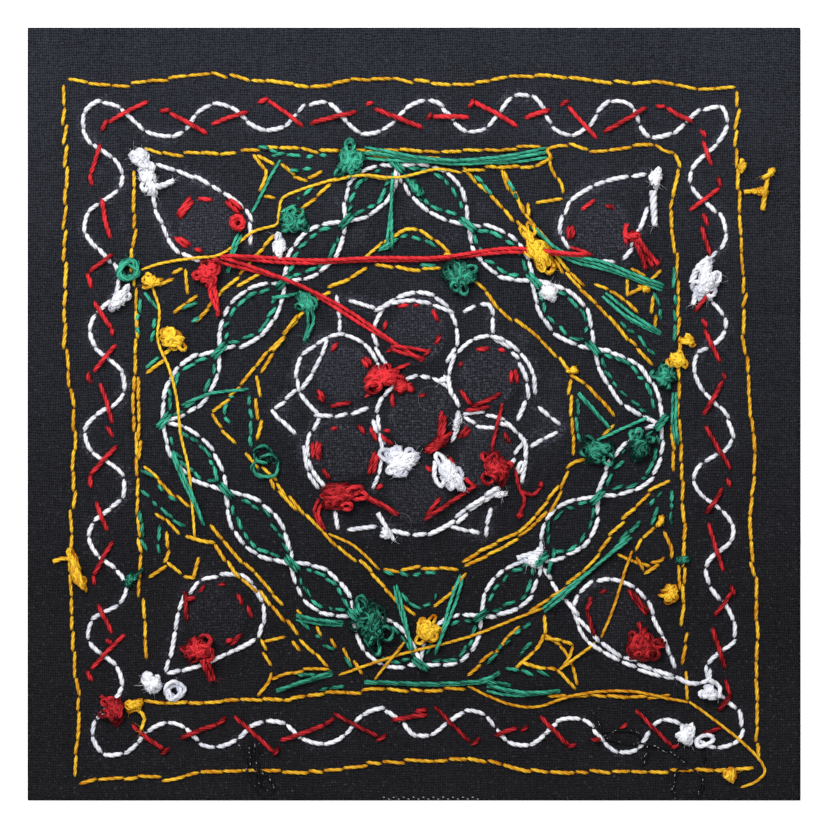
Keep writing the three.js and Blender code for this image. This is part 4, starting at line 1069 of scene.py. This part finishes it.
def linear(red, green, blue):
    """Linear colour of a display colour from 0 to 255."""
    shares = [c / 255 for c in (red, green, blue)]
    return tuple(c / 12.92 if c <= 0.04045 else ((c + 0.055) / 1.055) ** 2.4 for c in shares) + (1.0,)


def blank(name):
    """A new material: its node tree and its surface shader."""
    made = bpy.data.materials.new(name)
    made.use_nodes = True
    return made, made.node_tree, made.node_tree.nodes["Principled BSDF"]


def rough_bump(tree, surface, height, strength, distance):
    """Bumps on a surface, from a height."""
    bump = node(tree, "ShaderNodeBump", Strength=strength, Distance=distance)
    tree.links.new(height, bump.inputs["Height"])
    tree.links.new(bump.outputs["Normal"], surface.inputs["Normal"])


def thread_material(name, light, dark, rough):
    """Twisted cotton thread, each stitch a little lighter or darker."""
    made, tree, surface = blank(name)
    place = node(tree, "ShaderNodeTexCoord").outputs["Object"]
    # The tone attribute carries each thread's own tone and the painted shade on the sides of the plies and
    # deep in the heaps
    tone = node(tree, "ShaderNodeAttribute", attribute_name="tone").outputs["Fac"]
    fibre = noise(tree, place, scale=2600.0, detail=3.0)
    wear = noise(tree, place, scale=420.0, detail=2.0)
    parts = {"tone": tone, "wear": wear, "fibre": fibre}
    share = plus(tree, *(times(tree, value, THREAD_MIX[part]) for part, value in parts.items()))
    share = plus(tree, share, THREAD_MIX["base"])
    tree.links.new(mixed(tree, share, linear(*dark), linear(*light)), surface.inputs["Base Color"])
    rough_bump(tree, surface, fibre, strength=0.6, distance=0.0001)
    surface.inputs["Roughness"].default_value = rough
    surface.inputs["Specular IOR Level"].default_value = 0.12
    return made


def cloth_material():
    """Black plain weave, paler and bluer toward the top as painted sheen, with lint and dust."""
    made, tree, surface = blank("black_cotton")
    place = node(tree, "ShaderNodeTexCoord").outputs["Object"]
    axes = node(tree, "ShaderNodeSeparateXYZ")
    tree.links.new(place, axes.inputs[0])
    shift = times(tree, noise(tree, place, scale=160.0, detail=2.0), WOBBLE)
    profiles = []
    numbers = []
    slub = []
    for axis, pitch in zip(axes.outputs, (WARP_PITCH, WEFT_PITCH)):
        value = plus(tree, times(tree, axis, 1 / (pitch * MM)), shift)
        profiles.append(math_node(tree, "ABSOLUTE", math_node(tree, "SINE", times(tree, value, math.pi))))
        number = math_node(tree, "FLOOR", value)
        numbers.append(number)
        chance = node(tree, "ShaderNodeTexWhiteNoise", noise_dimensions="1D")
        tree.links.new(number, chance.inputs["W"])
        slub.append(chance.outputs["Value"])
    parity = math_node(tree, "PINGPONG", plus(tree, *numbers), 1.0)
    under = times(tree, profiles[1], math_node(tree, "SUBTRACT", 1.0, parity))
    weave = plus(tree, times(tree, profiles[0], parity), under)
    lint = noise(tree, place, scale=1500.0, detail=3.0)
    parts = {
        "weave": weave,
        "slub": plus(tree, *slub),
        "wear": noise(tree, place, scale=48.0, detail=4.0),
        "grain": noise(tree, place, scale=1900.0, detail=2.0),
    }
    shade = plus(tree, *(times(tree, value, CLOTH_MIX[part]) for part, value in parts.items()))
    shade = plus(tree, shade, CLOTH_MIX["base"])
    # Painted sheen: paler and bluer toward the top of the cloth
    sheen_share = plus(tree, times(tree, axes.outputs[1], TOP_SHEEN["slope"]), TOP_SHEEN["base"])
    lit = mixed(tree, sheen_share, linear(*CLOTH_LOW), linear(*CLOTH_SHEEN))
    body = mixed(tree, shade, linear(*CLOTH_DEEP), lit)
    body = mixed(tree, above(tree, lint, SPECKS["level"], SPECKS["gain"]), body, linear(*LINT))
    rubbed = above(tree, lint, RUBBED["level"], RUBBED["gain"])
    rubbed = times(tree, rubbed, plus(tree, weave, RUBBED["low"]))
    dust = node(tree, "ShaderNodeAttribute", attribute_name="dust").outputs["Fac"]
    body = mixed(tree, times(tree, dust, rubbed), body, linear(*CHALK))
    tree.links.new(body, surface.inputs["Base Color"])
    rough_bump(tree, surface, weave, strength=0.9, distance=0.00012)
    surface.inputs["Roughness"].default_value = 0.95
    surface.inputs["Specular IOR Level"].default_value = 0.1
    return made


def glass_material():
    """Silvered glass with faint specks in the silvering."""
    made, tree, surface = blank("mirror_glass")
    place = node(tree, "ShaderNodeTexCoord").outputs["Object"]
    specks = noise(tree, place, scale=900.0, detail=4.0)
    silver = mixed(tree, specks, linear(*GLASS_LOW), linear(*GLASS_HIGH))
    tree.links.new(silver, surface.inputs["Base Color"])
    tree.links.new(times(tree, specks, GLASS_ROUGH), surface.inputs["Roughness"])
    surface.inputs["Metallic"].default_value = 0.95
    return made


MATERIALS = {
    "yellow": thread_material("yellow_thread", (255, 214, 60), (172, 98, 0), 0.55),
    "white": thread_material("white_thread", (253, 253, 255), (194, 197, 210), 0.65),
    "red": thread_material("red_thread", (236, 54, 62), (90, 4, 10), 0.55),
    "green": thread_material("green_thread", (74, 196, 162), (0, 40, 32), 0.55),
    "dark": thread_material("dark_thread", (180, 180, 186), (19, 19, 22), 0.8),
    "cloth": cloth_material(),
    "glass": glass_material(),
}


def dust_on(x, y):
    """Dust and chalk on the cloth at a grid of places."""
    dust = np.zeros(x.shape)
    for mirror_x, mirror_y in MIRRORS.values():
        away = np.hypot(x - mirror_x, y - mirror_y)
        turn = np.arctan2(y - mirror_y, x - mirror_x)
        patch = np.sin(3 * turn + mirror_x) * np.sin(2 * turn + mirror_y)
        patch = RIM_DUST["even"] + RIM_DUST["patchy"] * patch
        rim = np.exp(-((away - RIM_DUST["radius"]) / RIM_DUST["width"]) ** 2)
        dust = np.maximum(dust, RIM_DUST["strength"] * patch * rim)
        dust = np.maximum(dust, PLATEAU_DUST["strength"] * (1 - eased(away, *PLATEAU_DUST["fade"])))
    for smudge_x, smudge_y, size, strength in SMUDGES:
        away = np.hypot(x - smudge_x, y - smudge_y)
        dust = np.maximum(dust, strength * np.exp(-((away / size) ** 2)))
    wave_x, wave_y = CHALK_LINE["waves"]
    for line in [wave_line(WAVE)] + [smooth(points) for points in DROP_LINES + FLOWER_LINES]:
        patch = 0.5 + 0.5 * np.sin(line[:, 0] / wave_x) * np.sin(line[:, 1] / wave_y)
        place = np.clip(((line - x[0, 0]) / CLOTH_STEP).round().astype(int), 1, len(x) - 2)
        for dx, dy in ((0, 0), (1, 0), (-1, 0), (0, 1), (0, -1)):
            np.maximum.at(dust, (place[:, 0] + dx, place[:, 1] + dy), CHALK_LINE["strength"] * patch)
    return dust * (LOW_DUST["share"] + (1 - LOW_DUST["share"]) * eased(y, *LOW_DUST["fade"]))


def make_cloth():
    """The square of cloth as a closed thin sheet, with dust where it rubs on the mirrors."""
    half = CLOTH_SIDE / 2
    count = int(round(CLOTH_SIDE / CLOTH_STEP)) + 1
    axis = np.linspace(-half, half, count)
    x, y = np.meshgrid(axis, axis, indexing="ij")
    low = ground(x, y)
    upper = np.column_stack([x.ravel(), y.ravel(), (low + CLOTH_THICK).ravel()])
    lower = np.column_stack([x.ravel(), y.ravel(), low.ravel()])
    index = np.arange(count * count).reshape(count, count)
    quads = np.stack([index[:-1, :-1], index[1:, :-1], index[1:, 1:], index[:-1, 1:]], axis=-1)
    quads = quads.reshape(-1, 4)
    below = quads[:, ::-1] + count * count
    rim = np.concatenate([index[:-1, 0], index[-1, :-1], index[:0:-1, -1], index[0, :0:-1]])
    ahead = np.roll(rim, -1)
    walls = np.stack([rim, rim + count * count, ahead + count * count, ahead], axis=-1)
    faces = np.concatenate([quads, below, walls]).tolist()
    cloth = piece("cloth_sheet", np.concatenate([upper, lower]), faces, "cloth", ["cloth"])
    dust = np.concatenate([dust_on(x, y).ravel(), np.zeros(x.size)])
    cloth.data.attributes.new("dust", "FLOAT", "POINT").data.foreach_set("value", dust)
    return cloth


def make_mirrors():
    """Round glass discs with a ground edge, and the stitched collar round each."""
    for seed, (name, (x, y)) in enumerate(sorted(MIRRORS.items())):
        low, high = (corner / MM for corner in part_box("mirror_" + name))
        radius = (high.x - low.x) / 2
        inset = radius - GLASS_BEVEL
        reaches = (inset, radius, radius, inset)
        levels = (low.z, low.z + GLASS_BEVEL, high.z - GLASS_BEVEL, high.z)
        angle = np.arange(GLASS_SIDES) * 2 * math.pi / GLASS_SIDES
        rings = [np.column_stack([circle(x, y, reach, angle), np.full(GLASS_SIDES, level)])
                 for reach, level in zip(reaches, levels)]
        points = np.concatenate(rings)
        index = np.arange(len(points)).reshape(-1, GLASS_SIDES)
        after = np.roll(index, -1, axis=1)
        faces = np.stack([index[:-1], after[:-1], after[1:], index[1:]], axis=-1).reshape(-1, 4).tolist()
        faces += [index[0][::-1].tolist(), index[-1].tolist()]
        glass = piece("glass_" + name, points, faces, "glass", ["mirror_" + name])
        glass.data.polygons.foreach_set("use_smooth", [False] * len(glass.data.polygons))
        collar = Yarn("red", 900 + seed)
        outer = (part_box("collar_" + name)[1].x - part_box("collar_" + name)[0].x) / 2 / MM - COLLAR["edge"]
        reaches = (COLLAR["inner"], radius + COLLAR["over"], outer)
        for turn in np.arange(COLLAR["stitches"]) * 2 * math.pi / COLLAR["stitches"]:
            arm = np.array([math.cos(turn), math.sin(turn), 0])
            bend = [arm * reach + (0, 0, level) for reach, level in zip(reaches, COLLAR["levels"])]
            line = smooth(np.array(bend) + (x, y, 0), step=COLLAR["step"])
            collar.tube(line, across(line), COLLAR["spoke"], COLLAR["sides"], collar.dice.uniform(0, 1))
        turns = np.linspace(0, 2 * math.pi, COLLAR["rim_points"])
        for reach, level in zip((COLLAR["inner"], outer), COLLAR["rim_levels"]):
            line = np.column_stack([circle(x, y, reach, turns), np.full(len(turns), level)])
            collar.tube(line, across(line), COLLAR["rim"], COLLAR["sides"], COLLAR["tone"])
        collar.make("stitched_collar_" + name, "red_thread", "collar_" + name)


def leaf_lines():
    """The garland's leaves: each arc, and the row of green inside it."""
    lines = []
    for here, there in zip(GARLAND, GARLAND[1:] + GARLAND[:1]):
        start = np.array(here[:2])
        end = np.array(there[:2])
        along = end - start
        outward = np.array([along[1], -along[0]]) / np.linalg.norm(along)
        if outward.dot(start + end) < 0:
            outward = -outward
        t = np.linspace(0, 1, LEAF_POINTS)[:, None]
        bow = 4 * t * (1 - t)
        for reach in (here[2], -here[3]):
            arc = start + along * t + outward * bow * reach
            lines.append((arc, arc - outward * np.sign(reach) * LEAF_INSET))
    return lines


def ring_lines():
    """The rings of the flower, each sewn from its last angle to its first."""
    for x, y, radius, first, last in RINGS:
        yield circle(x, y, radius, np.radians(np.linspace(last, first, RING_POINTS)))


def make_rows(name, colour, seed, lines, *nodes, closed=False):
    """One piece of stitch rows in one colour."""
    yarn = Yarn(colour, seed)
    for line in lines:
        yarn.row(line, closed)
    yarn.make(name, colour + "_thread", *nodes)


def make_threads():
    """Every row of stitches, in the order in which they lie on the cloth."""
    leaves = leaf_lines()
    drops = ["white_drop_corner_" + corner for corner in CORNER_LINES]
    make_rows("yellow_outer_rows", "yellow", 11, OUTER_FRAME, "yellow_frame_outer")
    make_rows("yellow_inner_rows", "yellow", 12, INNER_FRAME, "yellow_frame_inner")
    make_rows("white_wave_rows", "white", 21, [wave_line(WAVE)], "white_wave", closed=True)
    make_rows("white_flower_rows", "white", 22, [*ring_lines(), *FLOWER_LINES], "white_flower")
    make_rows("white_drop_rows", "white", 23, DROP_LINES, *drops)
    make_rows("white_garland_rows", "white", 24, [arc for arc, _ in leaves], "white_garland")
    make_rows("yellow_diamond_rows", "yellow", 13, DIAMOND_LINES, "yellow_diamond")
    for seed, (corner, lines) in enumerate(CORNER_LINES.items()):
        make_rows("yellow_rows_" + corner, "yellow", 14 + seed, lines, "yellow_corner_" + corner)

    yarn = Yarn("green", 31)
    for line in [inset[1:-1] for _, inset in leaves] + GREEN_RUNS:
        yarn.row(line)
    for here, there in zip(GARLAND, GARLAND[1:] + GARLAND[:1]):
        along = np.array(there[:2]) - np.array(here[:2])
        along = along / np.linalg.norm(along)
        for shift in CROSS_SHIFTS:
            plan = np.array(here[:2]) + np.array([-along[1], along[0]]) * shift
            yarn.stitch(np.array([plan - along * CROSS_HALF, plan, plan + along * CROSS_HALF]))
    yarn.make("green_running_rows", "green_thread")

    yarn = Yarn("red", 41)
    for row in RED_LACE + RED_TICKS + RED_CATCHES:
        start, end = np.array(row, float).reshape(2, 2)
        yarn.stitch(np.array([start, (start + end) / 2 + yarn.dice.normal(0, RED_BEND, 2), end]))
    yarn.make("red_lacing", "red_thread")


def make_flecks(dark):
    """The dark ends at the lower border, their pale flecks, and two thin pale loops."""
    for points in DARK_ENDS:
        dark.float_line(points, DARK_STRANDS, DARK_HEIGHT)
    dice = dark.dice
    for points in DARK_ENDS:
        line = smooth(points, step=FLECKS["step"])
        for spot, ahead in zip(line, np.gradient(line, axis=0)):
            if dice.uniform() < FLECKS["missing"]:
                continue
            arm = ahead * dice.uniform(*FLECKS["half"]) + dice.normal(0, FLECKS["bend"], 2)
            spot = spot + dice.normal(0, FLECKS["stray"], 2)
            thick = dice.uniform(*FLECKS["thick"])
            dark.fleck(spot - arm, spot + arm, thick, dice.uniform(*FLECKS["tones"]))
    edge = EDGE_FLECKS
    for number, x in enumerate(np.arange(edge["first"], edge["last"], edge["pitch"])):
        y = edge["y"] - edge["drop"] * (number % 2)
        dark.fleck((x - edge["half"], y), (x + edge["half"], y - edge["slant"]), edge["thick"], edge["tone"])
    for x, y, radius in PALE_LOOPS:
        plan = circle(x, y, radius, np.linspace(0, 2 * math.pi, PALE_LOOP["points"]))
        line = np.column_stack([plan, top(plan[:, 0], plan[:, 1]) + PALE_LOOP["high"]])
        dark.tube(line, across(line), PALE_LOOP["thick"], PALE_LOOP["sides"], PALE_LOOP["tone"])


def make_loose():
    """Floats, tied ends and tails, gathered by the node or the colour they belong to."""
    gathered = {}

    def yarn_for(name, colour):
        """The yarn of a node or, for a name that is no node, of all the loose ends of its colour."""
        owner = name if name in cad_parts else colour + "_ends"
        if owner not in gathered:
            gathered[owner] = Yarn(colour, 100 + len(gathered))
        return gathered[owner]

    for name, lines in FLOATS.items():
        for strands, height, points in lines:
            yarn_for(name, name.split("_")[0]).float_line(points, strands, height)
    for colour, rows in TAILS.items():
        for share, points in rows:
            yarn_for("", colour).tail(points, share)
    for name, (kind, *sizes) in KNOTS.items():
        yarn = yarn_for(name.removesuffix("_knot"), name.split("_")[0])
        if kind in HOLES:
            yarn.ring(kind, *sizes)
        else:
            yarn.tangle(kind, *sizes)
    make_flecks(yarn_for("", "dark"))
    for name, yarn in gathered.items():
        nodes = [name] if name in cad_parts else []
        yarn.make("loose_" + name, SLOTS.get(yarn.colour, yarn.colour + "_thread"), *nodes)


def make_stage():
    """White ground, soft light from the upper left and a camera straight above."""
    scene = bpy.context.scene
    mesh = bpy.data.meshes.new("ground")
    corners = [(-1, -1), (1, -1), (1, 1), (-1, 1)]
    points = [(x * FLOOR_REACH, y * FLOOR_REACH, FLOOR_LEVEL) for x, y in corners]
    mesh.from_pydata(points, [], [(0, 1, 2, 3)])
    floor = bpy.data.objects.new("ground", mesh)
    scene.collection.objects.link(floor)
    made, _, surface = blank("white_ground")
    surface.inputs["Base Color"].default_value = WHITE
    surface.inputs["Roughness"].default_value = 1.0
    surface.inputs["Emission Color"].default_value = WHITE
    surface.inputs["Emission Strength"].default_value = FLOOR_GLOW
    mesh.materials.append(made)

    lamp = bpy.data.lights.new("window", "AREA")
    lamp.shape = "DISK"
    lamp.size = LAMP_SIZE
    lamp.energy = LAMP_WATTS
    window = bpy.data.objects.new("window", lamp)
    window.location = LAMP_PLACE
    window.rotation_euler = (-window.location).to_track_quat("-Z", "Y").to_euler()
    scene.collection.objects.link(window)

    world = bpy.data.worlds.new("sky")
    world.use_nodes = True
    world.node_tree.nodes["Background"].inputs["Color"].default_value = WHITE
    world.node_tree.nodes["Background"].inputs["Strength"].default_value = SKY
    scene.world = world
    scene.view_settings.view_transform = "Standard"

    eye = bpy.data.cameras.new("above")
    eye.lens = LENS
    eye.sensor_width = SENSOR
    camera = bpy.data.objects.new("above", eye)
    width = CLOTH_SIDE * MM * IMAGE_PIXELS / CLOTH_PIXELS
    camera.location = (0.0, 0.0, CLOTH_THICK * MM + width * LENS / SENSOR)
    scene.collection.objects.link(camera)
    scene.camera = camera


cloth = make_cloth()
make_mirrors()
make_threads()
make_loose()
make_stage()
